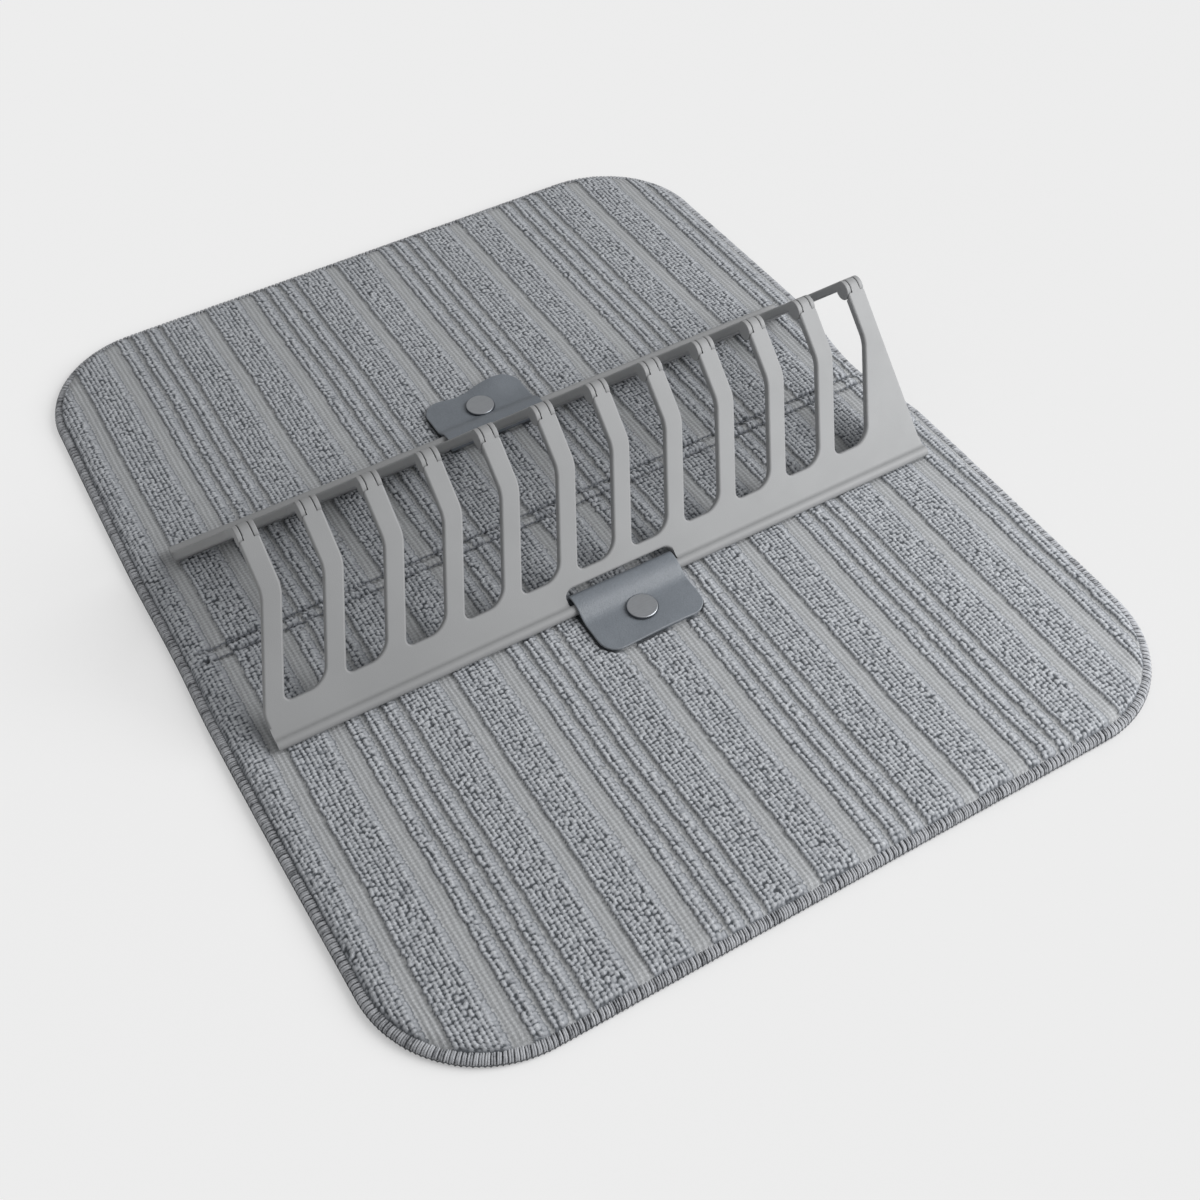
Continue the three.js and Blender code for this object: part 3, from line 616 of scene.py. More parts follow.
def loops_at(x, y):
    """Height of the pile above the ground weave, as a share of a full loop, at each point."""
    nearest = np.clip(np.searchsorted(columns[:, 0], x), 1, len(columns) - 1)
    row_at = (y + HALF_DEPTH) / LOOP_PITCH + ROWS_BEFORE + ROW_SWAY * np.sin(x / 19 + y / 57)
    pile = np.zeros_like(x)
    for column in (nearest - 2, nearest - 1, nearest, nearest + 1):
        column = np.clip(column, 0, len(columns) - 1)
        middle, half, lain = columns[column].T
        start = np.floor(row_at - loop_shift[column, 0] + 0.5).astype(int)
        for row in (-1, 0, 1):
            index = np.clip(start + row, 0, loop_rows - 1)
            along = (row_at - loop_shift[column, index] - index) * LOOP_PITCH
            across = x - middle - loop_aside[column, index]
            turn = loop_turn[column, index]
            u = across * np.cos(turn) - along * np.sin(turn)
            v = across * np.sin(turn) + along * np.cos(turn)
            round_off = 1 - (u / (half * loop_wide[column, index]))**2 - (v / loop_long[column, index])**2
            dome = loop_height[column, index] * np.clip(round_off, 0, 1)**(DOME_POWER + LAIN_POWER * lain)
            pile = np.maximum(pile, dome * (1 - lain + lain * LAIN_HEIGHT * (1 - LAIN_LEAN * across / half)))
    return pile


# %% [markdown]
# ## The pad's shape
# Below the loops the pad is a soft slab. It swells a little here and there, falls away over the last few
# millimetres to the overlocked edge, which puckers it, and is drawn down along the fold by two rows of
# stitching that leave a puffed strip between them and gather the cloth beside it. The straps press the pile
# flat.

# %% Heights of the pad
SEAM_ROW, SEAM_HALF, SEAM_DEPTH = 3.4, 2.6, 2.2
STITCH_PITCH = 3.0
EDGE_INSET, EDGE_LEVEL = 4.2, 4.4
CROWN_WIDTH, CROWN_POWER = 6.5, 0.75
UNDER_EDGE_WIDTH, UNDER_EDGE_DROP = 2.2, 1.3
PUCKER_HEIGHT, PUCKER_PLACE, PUCKER_REACH = 0.28, 7.5, 3.0
GATHER_HEIGHT, GATHER_PLACE, GATHER_REACH = 0.22, 6.5, 3.4
SEAM_END, SEAM_FADE = 5, 6
STRAP_PRESS_X, STRAP_PRESS_NEAR, STRAP_PRESS_FAR, STRAP_PRESS_CORNER = 27.4, 62.4, 98.2, 8.4
PRESSED_LEVEL, PRESS_FADE = 6.55, 1.6
SWELL_DROP = 0.15
SEAM_WANDER, WANDER_LENGTH = 0.35, 5.3
PILE_START, PILE_FADE = 0.4, 1.8
GROOVE_FLATTENS, STRAP_FLATTENS = 0.55, 0.95


def past_round_corner(past_x, past_y, radius):
    """How far outside a rounded rectangle a point lies that is so far past its two nearest sides."""
    past_x, past_y = past_x + radius, past_y + radius
    outside = np.hypot(np.maximum(past_x, 0), np.maximum(past_y, 0))
    return outside + np.minimum(np.maximum(past_x, past_y), 0) - radius


def pad_level(x, y):
    """(ground level, how much of the pile stands up, how deep in the seam) at each point."""
    inset = inset_of(x, y)
    crown = np.sin(np.clip((inset - EDGE_INSET) / CROWN_WIDTH, 0, 1) * math.pi / 2)**CROWN_POWER
    under_edge = np.clip((EDGE_INSET - inset) / UNDER_EDGE_WIDTH, 0, 1)
    pucker = np.sin((x + 0.7 * y) / 2.6 + 1.5 * np.sin(y / 17)) * bell(inset - PUCKER_PLACE, PUCKER_REACH)
    swell = 0.16 * np.sin(x / 23 + 0.7) * np.sin(y / 29) + 0.12 * np.sin(x / 11.3 + y / 47) - SWELL_DROP
    level = EDGE_LEVEL + (CLOTH_TOP - EDGE_LEVEL + swell) * crown
    level = level - UNDER_EDGE_DROP * under_edge + PUCKER_HEIGHT * pucker
    row = SEAM_ROW + SEAM_WANDER * np.sin(x / WANDER_LENGTH) + 0.2 * np.sin(x / 1.9 + y)
    across = np.clip((np.abs(y) - row) / SEAM_HALF, -1, 1)
    tuck = 0.62 + 0.20 * np.cos(2 * math.pi * x / STITCH_PITCH + 0.6 * np.sign(y))
    tuck = tuck + 0.18 * np.sin(x / 4.1 + np.sin(x / 11))
    sewn = ease((inset - SEAM_END) / SEAM_FADE)
    groove = wave(across / 2) * tuck * sewn
    gather = np.sin(x / 1.35 + 2.2 * np.sin(x / 9)) * bell(np.abs(y) - GATHER_PLACE, GATHER_REACH)
    level = level - SEAM_DEPTH * groove + GATHER_HEIGHT * gather * sewn
    outside = past_round_corner(np.abs(x) - STRAP_PRESS_X, np.abs(y) - STRAP_PRESS_FAR, STRAP_PRESS_CORNER)
    pressed = 1 - ease(np.maximum(outside, STRAP_PRESS_NEAR - np.abs(y)) / PRESS_FADE)
    stand = ease((inset - EDGE_INSET + PILE_START) / PILE_FADE)
    stand = stand * (1 - GROOVE_FLATTENS * groove) * (1 - STRAP_FLATTENS * pressed)
    level = level - pressed * np.maximum(level - PRESSED_LEVEL, 0)
    return level, stand, groove


RIB_PITCH, RIB_FIRST, RIB_HEIGHT, ROW_HEIGHT = 2.42, 1.85, 0.42, 0.07


def weave_heights(x, y):
    """Ribs along the smooth stripes, counted from each one's left edge, and the fine rows across them."""
    _, from_band = band_edges(x)
    return wave((from_band + RIB_FIRST) / RIB_PITCH), wave(y / LOOP_PITCH + 0.06 * np.sin(x / 1.1 + y / 5))


# %% [markdown]
# The grid's lines run along the columns of loops, four or five to each, so that the narrow gap between two
# columns always falls on a line and stays crisp. Beside the mat's edge they draw closer together, to follow
# the outline. The sides and the underside are plain faces that close the pad.

# %% Pad mesh
PAD_INSET = 2.4
PAD_BOTTOM = 1.05
PILE_CELL, RIB_CELL, ROW_CELL = 0.5, 0.62, 0.45
SIDE_MARGIN, SWAY_MARGIN, LINE_MARGIN = 14.0, 8.0, 0.3
GROUND_SINK = 0.15
BAND_FADE = 0.4
LOOP_FOOT, LOOP_FADE = 0.02, 0.2
RIB_KEPT = 0.3


def grid_lines():
    """Where the grid's lines cross the mat, in a row that is as wide as the mat."""
    lines = []
    for (left, width, count), next_left in zip(bands, band_left[1:]):
        right = left + width
        lines.append(np.linspace(left, right, count * round(width / count / PILE_CELL), endpoint=False))
        lines.append(np.linspace(right, next_left, round((next_left - right) / RIB_CELL), endpoint=False))
    lines = np.concatenate(lines)
    end = HALF_WIDTH - PAD_INSET
    lines = lines[np.abs(lines) < end - LINE_MARGIN]
    return np.concatenate([[-end], lines, [end]])


lines = grid_lines()
cells_x = len(lines) - 1
cells_y = round(2 * HALF_DEPTH / ROW_CELL / (1))
row_y = np.linspace(-(HALF_DEPTH - PAD_INSET), HALF_DEPTH - PAD_INSET, cells_y + 1)
row_half = half_width_at(row_y[:, None], PAD_INSET, lines[None, :])
inner = row_half - SIDE_MARGIN
squeezed = inner + (np.abs(lines) - inner) * SIDE_MARGIN / (lines[-1] - inner)
straight_x = np.where(np.abs(lines) > inner, np.sign(lines) * squeezed, lines)
hold = ease((row_half - np.abs(straight_x)) / SWAY_MARGIN).ravel()
straight_x = straight_x.ravel()
grid_y = np.repeat(row_y, cells_x + 1)
grid_x = straight_x
for _ in range(3):
    grid_x = straight_x - hold * waver(grid_x, grid_y)
woven_x = grid_x + waver(grid_x, grid_y)
level, stand, groove = pad_level(grid_x, grid_y)
pile = loops_at(woven_x, grid_y)
from_left, from_right = band_edges(woven_x)
inside = ease(np.minimum(from_left, from_right) / BAND_FADE)
loose = np.maximum(ease((pile - LOOP_FOOT) / LOOP_FADE), inside)
ribs, rows = weave_heights(woven_x, grid_y)
rise = np.maximum(pile, LOOP_ROOT * inside)
weave = (RIB_HEIGHT * ribs + ROW_HEIGHT * rows) * (1 - loose) * (RIB_KEPT + (1 - RIB_KEPT) * stand)
height = level - GROUND_SINK + (PILE_TOP - CLOTH_TOP + GROUND_SINK) * rise * stand + weave
grid_z = np.minimum(height, PILE_TOP + GROUND_SINK)
print("pad grid:", cells_x, "by", cells_y, "highest", round(float(grid_z.max()), 2))

top = np.stack([grid_x, grid_y, grid_z], 1)
wide = cells_x + 1
left, right_edge = top[::wide].copy(), top[cells_x::wide].copy()
left[:, 2] = right_edge[:, 2] = PAD_BOTTOM
points = np.concatenate([top, left, right_edge])
first_left = len(top)
first_right = first_left + len(left)
index = np.arange(len(top)).reshape(cells_y + 1, wide)
quads = np.stack([index[:-1, :-1], index[:-1, 1:], index[1:, 1:], index[1:, :-1]], 2).reshape(-1, 4)
near, far = np.arange(cells_y), np.arange(1, cells_y + 1)
left_wall = np.stack([index[near, 0], index[far, 0], first_left + far, first_left + near], 1)
right_wall = np.stack([index[far, -1], index[near, -1], first_right + near, first_right + far], 1)
underside = np.stack([first_left + near, first_left + far, first_right + far, first_right + near], 1)
front_end = np.concatenate([[first_left, first_right], index[0, ::-1]])
rear_end = np.concatenate([[first_right + cells_y, first_left + cells_y], index[-1]])
all_quads = np.concatenate([quads, left_wall, right_wall, underside])
corners = np.concatenate([all_quads.ravel(), front_end, rear_end])
sizes = np.concatenate([np.full(len(all_quads), 4), [len(front_end), len(rear_end)]])
mat_pad = array_mesh("mat_pad", points, corners, sizes)
print("mat pad faces:", len(mat_pad.data.polygons))

# %% [markdown]
# ## What the cloth's finish needs to know
# A few numbers are stored at each point of the pad: how high it stands in the pile, where it is on the ribs
# and rows, whether it is pile or ribbed weave, and how deep it is in the seam. The finish paints the pile's
# height as painted shade between the loops and painted light on their tops, the ribs and rows as painted
# light on their crests and painted shade in their furrows, and the seam's depth as painted shade. The loops
# that have fallen over to the right get painted light for their lit sides, so they count as high. The
# pattern then follows the cloth, also when the mat is folded. A flat map from above goes with the mesh, so
# that the finish can be drawn on it later.

# %% Attributes and map of the pad
PILE_SHADE_KEPT = 0.4
FLOP_REACH, FLOP_PAINTED_LIGHT, FLOP_LIGHT_LEVEL = 1.3, 0.6, 0.95
STRIP_WITH_GAP = 1.2

hidden = np.zeros(2 * len(left))
# Painted light: the fallen loops at each band's right edge are painted lighter, for their lit sides.
flopped_lit = bell(from_right + LAIN_PLACE, FLOP_REACH)
# Painted light and shade: the pile's height becomes the loops' tone, dark between them and light on top.
pile_painted_shade = pile * (PILE_SHADE_KEPT + (1 - PILE_SHADE_KEPT) * stand)
pile_painted_shade += FLOP_PAINTED_LIGHT * flopped_lit * loose * (FLOP_LIGHT_LEVEL - pile_painted_shade)
# The seam's depth is stored for painted shade in its groove.
seen_on_top = {"nap": pile_painted_shade, "rib": ribs, "row": rows, "looped": loose, "seam_shade": groove}
for name, values in seen_on_top.items():
    store(mat_pad, name, np.concatenate([values, hidden]))


def flat_map(obj, under_share=0.08):
    """A map from straight above, with the underside's faces in a narrow strip beside it."""
    mesh = obj.data
    layer = mesh.uv_layers.new(name="OFBake")
    corner_count = len(mesh.loops)
    vertex_of = np.zeros(corner_count, np.int32)
    mesh.loops.foreach_get("vertex_index", vertex_of)
    place = np.zeros(len(mesh.vertices) * 3, np.float32)
    mesh.vertices.foreach_get("co", place)
    place = place.reshape(-1, 3)[vertex_of] / MM
    normals = np.zeros(len(mesh.polygons) * 3, np.float32)
    mesh.polygons.foreach_get("normal", normals)
    totals = np.zeros(len(mesh.polygons), np.int32)
    mesh.polygons.foreach_get("loop_total", totals)
    below = np.repeat(normals.reshape(-1, 3)[:, 2] < -0.5, totals)
    across = (place[:, 0] + HALF_WIDTH + BOW) / (2 * (HALF_WIDTH + BOW))
    u = np.where(below, 1 - under_share * (1 - across), across * (1 - STRIP_WITH_GAP * under_share))
    v = (place[:, 1] + HALF_DEPTH) / (2 * HALF_DEPTH)
    layer.data.foreach_set("uv", np.stack([u, v], 1).astype(np.float32).ravel())


flat_map(mat_pad)
only(mat_pad)
bpy.ops.object.shade_smooth()

# %% [markdown]
# ## Terry cloth finish
# The loops are painted light on their tops, as painted light, and dark where the eye looks between them, as
# painted shade. The smooth stripes are a little lighter and warmer, with fine rows across them that are
# painted lighter on their crests, and the ribs are painted darker in their furrows, as painted shade. The
# cloth is painted darker in the seam's groove, as painted shade. The yarn itself is only a bump, because it
# is thinner than anything that shows as a shape.

# %% Terry finish
terry = Finish("terry_cloth", Roughness=0.95, Specular_IOR_Level=0.12, Sheen_Weight=0.12, Sheen_Roughness=0.6)
nap = terry.attribute("nap")
looped = terry.attribute("looped")
yarn = terry.noise(1500, detail=4, roughness=0.65)
mottle = terry.noise(60, detail=3)
# Painted shade between the loops and painted light on their tops.
pile_painted_tones = terry.tones(nap, [(0, (72, 75, 79)), (0.46, (104, 108, 113)),
                               (0.72, (157, 160, 165)), (0.95, (187, 190, 194))])
# Painted light on the rows' crests and painted shade in the ribs' furrows.
weave_painted_light = terry.tones(terry.attribute("row"), [(0, (162, 164, 166)), (1, (179, 181, 183))])
furrow_painted_shade = terry.between(terry.attribute("rib"), 0.83, 1.08)
weave_painted_light = terry.mix(1.0, weave_painted_light, furrow_painted_shade, blend="MULTIPLY")
cloth_light = terry.mix(looped, weave_painted_light, pile_painted_tones)
speck_and_shade = terry.maths("MULTIPLY", terry.between(yarn, 0.62, 1.38), terry.between(mottle, 0.94, 1.06))
# Painted shade in the seam's groove, multiplied into the yarn's random speck.
speck_and_shade = terry.maths("MULTIPLY", speck_and_shade, terry.maths("MULTIPLY_ADD", terry.attribute("seam_shade"), -0.16, 1.0))
terry.color(terry.mix(1.0, cloth_light, speck_and_shade, blend="MULTIPLY"))
terry.set("Normal", terry.bump(yarn, 0.00030))
terry.wear(mat_pad)


def bend_across_fold(piece, slot_name, *nodes):
    """Puts the piece's place in its mesh and hides these nodes, which it stands for."""
    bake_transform(piece)
    if nodes:
        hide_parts(*nodes)


bend_across_fold(mat_pad, "cloth", "front_top_cloth", "rear_top_cloth", "front_foam_core", "rear_foam_core")

# %% [markdown]
# ## The backing
# Under the pad lies a plain close-woven cloth. It is cut to the mat's outline and held flat by the edging.
# It is made the same way as the pad, from rows of points, but it is thin and flat, so few rows are enough,
# with more of them near the fold, where it bends. Its faces are shaded flat, so its rim stays crisp.

# %% Backing cloth
BACKING_INSET = 1.5
BACKING_THICKNESS = 0.8
FOLD_ROWS_END, PLAIN_ROWS_START = 14, 20
FOLD_ROWS, PLAIN_ROWS, CORNER_ROWS = 15, 26, 26


def outline_rows(inset):
    """Rows across the mat, close together at the fold and at the round corners."""
    fold_rows = np.linspace(0, FOLD_ROWS_END, FOLD_ROWS)
    plain_rows = np.linspace(PLAIN_ROWS_START, HALF_DEPTH - CORNER_RADIUS, PLAIN_ROWS)
    corner_turn = np.linspace(0, math.pi / 2, CORNER_ROWS)[1:]
    corner_rows = HALF_DEPTH - CORNER_RADIUS + (CORNER_RADIUS - inset) * np.sin(corner_turn)
    half_rows = np.concatenate([fold_rows, plain_rows, corner_rows])
    return np.concatenate([-half_rows[:0:-1], half_rows])


def slab(name, inset, bottom, top_level, across=24):
    """A thin closed sheet in the mat's outline."""
    rows_y = outline_rows(inset)
    share = np.linspace(-1, 1, across + 1)[None, :]
    xs = half_width_at(rows_y[:, None], inset, share) * share
    ys = np.repeat(rows_y[:, None], across + 1, 1)
    layers = [np.stack([xs, ys, np.full_like(xs, z)], 2).reshape(-1, 3) for z in (bottom, top_level)]
    count = len(layers[0])
    grid = np.arange(count).reshape(len(rows_y), across + 1)
    up = np.stack([grid[:-1, :-1], grid[:-1, 1:], grid[1:, 1:], grid[1:, :-1]], 2).reshape(-1, 4)
    rim = np.concatenate([grid[0, :-1], grid[:-1, -1], grid[-1, :0:-1], grid[:0:-1, 0]])
    nxt = np.roll(rim, -1)
    wall = np.stack([rim, nxt, nxt + count, rim + count], 1)
    return mesh_piece(name, np.concatenate(layers), np.concatenate([up[:, ::-1], up + count, wall]))


backing = slab("backing_cloth", BACKING_INSET, 0, BACKING_THICKNESS)
backing.data.shade_flat()
flat_map(backing, under_share=0.49)
backing_finish = Finish("backing_weave", Roughness=0.9, Specular_IOR_Level=0.2)
close_weave = backing_finish.add("ShaderNodeTexBrick", Vector=backing_finish.place, Scale=700.0)
backing_finish.color(backing_finish.mix(
    backing_finish.between(backing_finish.noise(900, detail=3), 0.1, 0.7),
    linear(122, 127, 131), linear(142, 146, 149)))
backing_finish.set("Normal", backing_finish.bump(close_weave.outputs["Fac"], 0.0002))
backing_finish.wear(backing)
bend_across_fold(backing, "backing", "front_backing_cloth", "rear_backing_cloth")

# %% [markdown]
# ## The overlocked edging
# The rim is wrapped by an overlock stitch: threads in pairs over a folded edge, each a little slanted, with
# a looper thread that zigzags along the outside, where it locks them. The folded edge is a ring with a
# rounded section, and one stitch is drawn once as a short bent tube and laid along the rim about 1,450
# times, each time a little different. The looper's short turns are laid in the same way. Each thread has
# its own random tone. The looper, the folded edge between the threads and each thread's flanks are painted
# darker, as painted shade.

# %% Edging
STITCH_STEP = 1.17
THREAD_RADIUS = 0.57
PAIR_SHIFT = 0.14
SLIDE_SPREAD, LEAN, LEAN_SPREAD, REACH_SPREAD = 0.07, 0.80, 0.16, 0.28
STITCH_SIDES, THIN_END = 5, 0.62
CORE_SECTION = [(1.1, 0.35), (0.85, 1.2), (0.85, 2.9), (1.35, 3.65),
                (2.3, 4.0), (4.3, 4.0), (4.7, 3.6), (4.4, 0.35)]
STITCH_PATH = [(4.85, 3.95), (4.25, 4.40), (3.2, 4.50), (1.9, 4.40),
               (1.05, 3.75), (0.66, 2.65), (0.70, 1.3), (1.10, 0.50)]
LOOPER_RADIUS, LOOPER_INSET, LOOPER_LOW, LOOPER_HIGH = 0.34, 0.22, 1.20, 2.30
# Painted shade: the folded edge, the looper and each thread's flanks are painted darker.
CORE_PAINTED_SHADE, LOOPER_PAINTED_SHADE, FLANK_SHADE = -0.1, -0.5, 0.45


def lay_ring(name, section, step=2.0):
    """A closed section, given as (inset, height), carried round the rim."""
    place, outward, _ = rim_points(step)
    count, around = len(place), len(section)
    ring = [np.column_stack([place - outward * inset, np.full(count, height)]) for inset, height in section]
    points = np.stack(ring, 1).reshape(-1, 3)
    i, k = np.meshgrid(np.arange(count), np.arange(around), indexing="ij")
    j, m = (i + 1) % count, (k + 1) % around
    faces = np.stack([i * around + k, i * around + m, j * around + m, j * around + k], 2).reshape(-1, 4)
    return mesh_piece(name, points, faces)


def tube_points(path, radii, side, sides):
    """Rings of points round a path. side is a direction square to the path that each ring starts from."""
    path = np.asarray(path, float)
    along = np.gradient(path, axis=0)
    along /= np.linalg.norm(along, axis=1)[:, None]
    other = np.cross(along, side)
    other /= np.linalg.norm(other, axis=1)[:, None]
    flat = np.cross(other, along)
    turn = np.arange(sides) * 2 * math.pi / sides
    ring = np.cos(turn)[None, :, None] * flat[:, None, :] + np.sin(turn)[None, :, None] * other[:, None, :]
    return path[:, None, :] + ring * np.asarray(radii)[:, None, None]


def tube_faces(rings, sides, first=0):
    faces = []
    for r in range(rings - 1):
        for s in range(sides):
            t = (s + 1) % sides
            faces.append([first + r * sides + s, first + (r + 1) * sides + s,
                          first + (r + 1) * sides + t, first + r * sides + t])
    faces.append([first + s for s in range(sides)])
    faces.append([first + (rings - 1) * sides + s for s in reversed(range(sides))])
    return faces


def lay_tubes(name, tubes, sides):
    """One object of many short tubes, each given as its path, its radii and a direction square to it."""
    points, faces = [], []
    for path, radii, side in tubes:
        faces += tube_faces(len(path), sides, len(points) * len(path) * sides)
        points.append(tube_points(path, radii, side, sides).reshape(-1, 3))
    piece = mesh_piece(name, np.concatenate(points), faces)
    face_out(piece)
    return piece


edging_core = lay_ring("edging_core", CORE_SECTION)
face_out(edging_core)
place, outward, tangent = rim_points(STITCH_STEP)
luck = np.random.default_rng(23)
tubes, tones = [], []
flanks = np.tile(np.abs(np.cos(np.arange(STITCH_SIDES) * 2 * math.pi / STITCH_SIDES)), len(STITCH_PATH))
thickness = np.array([THIN_END, *[1] * (len(STITCH_PATH) - 2), THIN_END])
for i in range(len(place)):
    slide = luck.normal(0, SLIDE_SPREAD) + (-PAIR_SHIFT if i % 2 else PAIR_SHIFT)
    lean = luck.normal(LEAN, LEAN_SPREAD)
    reach_in = luck.normal(0, REACH_SPREAD)
    fat = THREAD_RADIUS * luck.uniform(0.88, 1.12)
    path = []
    for k, (inset, level_z) in enumerate(STITCH_PATH):
        along = k / (len(STITCH_PATH) - 1)
        inset = inset + reach_in * max(0.0, 1 - 2 * along)
        path.append((*(place[i] - outward[i] * inset + tangent[i] * (slide + lean * (0.5 - along))), level_z))
    tubes.append((path, fat * thickness, np.array([*tangent[i], 0])))
    # Each thread's own random tone, with painted shade on its flanks.
    tones.append(luck.uniform(0.35, 0.95) - FLANK_SHADE * flanks)
stitches = lay_tubes("edging_stitches", tubes, STITCH_SIDES)

halfway = (place + np.roll(place, -1, axis=0)) / 2 - outward * LOOPER_INSET
zigzag = np.where(np.arange(len(place)) % 2, LOOPER_LOW, LOOPER_HIGH) + luck.normal(0, 0.10, len(place))
turns = np.column_stack([halfway, zigzag])
tubes = []
for here, there, out in zip(turns, np.roll(turns, -1, axis=0), outward):
    path = [here + t * (there - here) for t in (-0.15, 0.5, 1.15)]
    tubes.append((path, np.array([1.0, 0.9, 1.0]) * LOOPER_RADIUS, np.array([*out, 0])))
looper = lay_tubes("edging_looper", tubes, 4)

# The looper and the folded edge seen between the threads are painted darker, as painted shade.
store(looper, "tone_and_shade", np.full(len(looper.data.vertices), LOOPER_PAINTED_SHADE))
store(edging_core, "tone_and_shade", np.full(len(edging_core.data.vertices), CORE_PAINTED_SHADE))
store(stitches, "tone_and_shade", np.concatenate(tones))
edging = join([edging_core, stitches, looper])
edging.name = edging.data.name = "overlock_edging"
bpy.ops.object.shade_smooth()
print("edging stitches:", len(place), "faces:", len(edging.data.polygons))

# %% Edging finish
thread = Finish("overlock_thread", Roughness=0.8, Specular_IOR_Level=0.25, Sheen_Weight=0.2,
                Sheen_Roughness=0.5)
tone_and_shade = thread.maths("ADD", thread.attribute("tone_and_shade"), thread.between(thread.noise(700, detail=3), -0.50, 0.50))
# The tone holds each thread's random tone and the painted shade of the flanks, folded edge and looper.
thread.shade(tone_and_shade, [(0, (98, 100, 104)), (0.30, (162, 164, 168)), (0.9, (192, 194, 198))])
thread.set("Normal", thread.bump(thread.noise(2600, detail=2), 0.00015))
thread.wear(edging)
bend_across_fold(edging, "edging", "front_overlock_edging", "rear_overlock_edging")

# %% [markdown]
# ## The stitching in the fold
# Two rows of lockstitch hold the pad down along the fold. Each stitch is a short thread whose ends dive
# into the cloth. One is drawn once and repeated along both rows.

# %% Fold stitches
SEAM_THREAD_RADIUS, SEAM_THREAD_Z = 0.36, 6.55
SEAM_REACH = 186.0
SEAM_STITCH_HALF = STITCH_PITCH * 0.44
STITCH_LIFT, STITCH_DIVE, STITCH_SLANT, ROW_SPREAD = 0.5, 0.35, 0.12, 0.12
luck = np.random.default_rng(31)


def seam_row(name, row_place):
    """One row of lockstitch, which wanders as the seam's groove does."""
    tubes = []
    for i in range(int(2 * SEAM_REACH / STITCH_PITCH)):
        middle = -SEAM_REACH + (i + 0.5) * STITCH_PITCH
        wander = math.copysign(SEAM_WANDER * math.sin(middle / WANDER_LENGTH), row_place)
        y = row_place + luck.normal(0, ROW_SPREAD) + wander
        path = [(middle + t * SEAM_STITCH_HALF, y + STITCH_SLANT * t,
                 SEAM_THREAD_Z + STITCH_LIFT * (1 - t**4) - STITCH_DIVE) for t in np.linspace(-1, 1, 7)]
        tubes.append((path, SEAM_THREAD_RADIUS * np.array([0.7, 1, 1, 1, 1, 1, 0.7]), np.array([0, 1, 0])))
    row = lay_tubes(name, tubes, 6)
    bpy.ops.object.shade_smooth()
    return row


seam_thread = Finish("seam_thread", Roughness=0.75, Specular_IOR_Level=0.25)
seam_thread.shade(seam_thread.noise(900, detail=3), [(0.3, (104, 108, 114)), (0.7, (134, 138, 144))])
seam_thread.set("Normal", seam_thread.bump(seam_thread.noise(3000), 0.00015))
for name, row_place in (("front", -SEAM_ROW), ("rear", SEAM_ROW)):
    row = seam_row(f"{name}_seam_stitches", row_place)
    seam_thread.wear(row)
    bend_across_fold(row, "thread", f"{name}_seam_thread")

# %% [markdown]
# ## The rack's combs
# Each panel is one moulding: a plate cut like a comb, with twelve fingers that lean and then stand
# straight, a bead along its foot with a low lip behind it, a window for the strap, and knuckles at the
# fingers' ends. It is drawn flat, with X along the rack, Y up the slope and Z out of its front, and then
# leaned into place. The outline is traced corner by corner, its corners are rounded with a bevel, and the
# face is extruded to the plate's thickness.

# %% Comb sizes, in millimetres
PLATE = 4.6
BEAD_RADIUS, BEAD_STANDOFF = 2.6, 0.6
FINGERS, FINGER_WIDTH, SLOT_WIDTH = 12, 10.0, 20.0
SLOT_FLOOR, KINK, END_BEND = 16.6, 64.4, 14.4
PLATE_BOTTOM, SLOT_LEAN = 3.0, 0.4
RACK_HALF = 180.0
AXIS_V, AXIS_W = 91.72, -5.6
KNUCKLE, KNUCKLE_GAP = 5.0, 0.65
EAR, SIDE_GAP = 2.4, 0.3
TONGUE = FINGER_WIDTH - 2 * (EAR + SIDE_GAP)
PIP_RADIUS, PIP_REACH, PIP_CLEARANCE = 1.3, 1.4, 0.3
KNUCKLE_ROUND, PIP_ROUND, PIP_SIDES = 0.5, 0.3, 16
WINDOW_HALF, WINDOW_TOP, WINDOW_CORNER = 30.0, 10.0, 5.0
PANEL_DEGREES = 45.296
PIVOT_Y, PIVOT_Z = 68.5, 11.25
EDGE_ROUND = 1.2
BEAD_FILLET, FILLET_TOP, OVERLAP = 2.5, 8.0, 0.03
LIP_REACH, LIP_LOW, LIP_HIGH, LIP_SLOPE = 0.6, 3.4, 5.4, 0.8
BAR_OVERRUN, CUT_OVERRUN = 4.0, 1.0
BEND_RADIUS, KINK_RADIUS, TIGHT_RADIUS, WIDE_RADIUS = 10, 18, 2.5, 12


def comb_corners():
    lean = SLOT_LEAN * (KINK - SLOT_FLOOR)
    edge = -RACK_HALF + SLOT_LEAN * (KINK - END_BEND)
    corners = [(-RACK_HALF, PLATE_BOTTOM, 0), (-RACK_HALF, END_BEND, BEND_RADIUS),
               (edge, KINK, KINK_RADIUS), (edge, AXIS_V, 0)]
    for _ in range(FINGERS - 1):
        edge += FINGER_WIDTH
        corners += [(edge, AXIS_V, 0), (edge, KINK, KINK_RADIUS), (edge - lean, SLOT_FLOOR, TIGHT_RADIUS)]
        edge += SLOT_WIDTH
        corners += [(edge - lean, SLOT_FLOOR, WIDE_RADIUS), (edge, KINK, KINK_RADIUS), (edge, AXIS_V, 0)]
    corners += [(RACK_HALF, AXIS_V, 0), (RACK_HALF, PLATE_BOTTOM, 0)]
    corners += [(WINDOW_HALF, PLATE_BOTTOM, 0), (WINDOW_HALF, WINDOW_TOP, WINDOW_CORNER)]
    corners += [(-WINDOW_HALF, WINDOW_TOP, WINDOW_CORNER), (-WINDOW_HALF, PLATE_BOTTOM, 0)]
    return corners


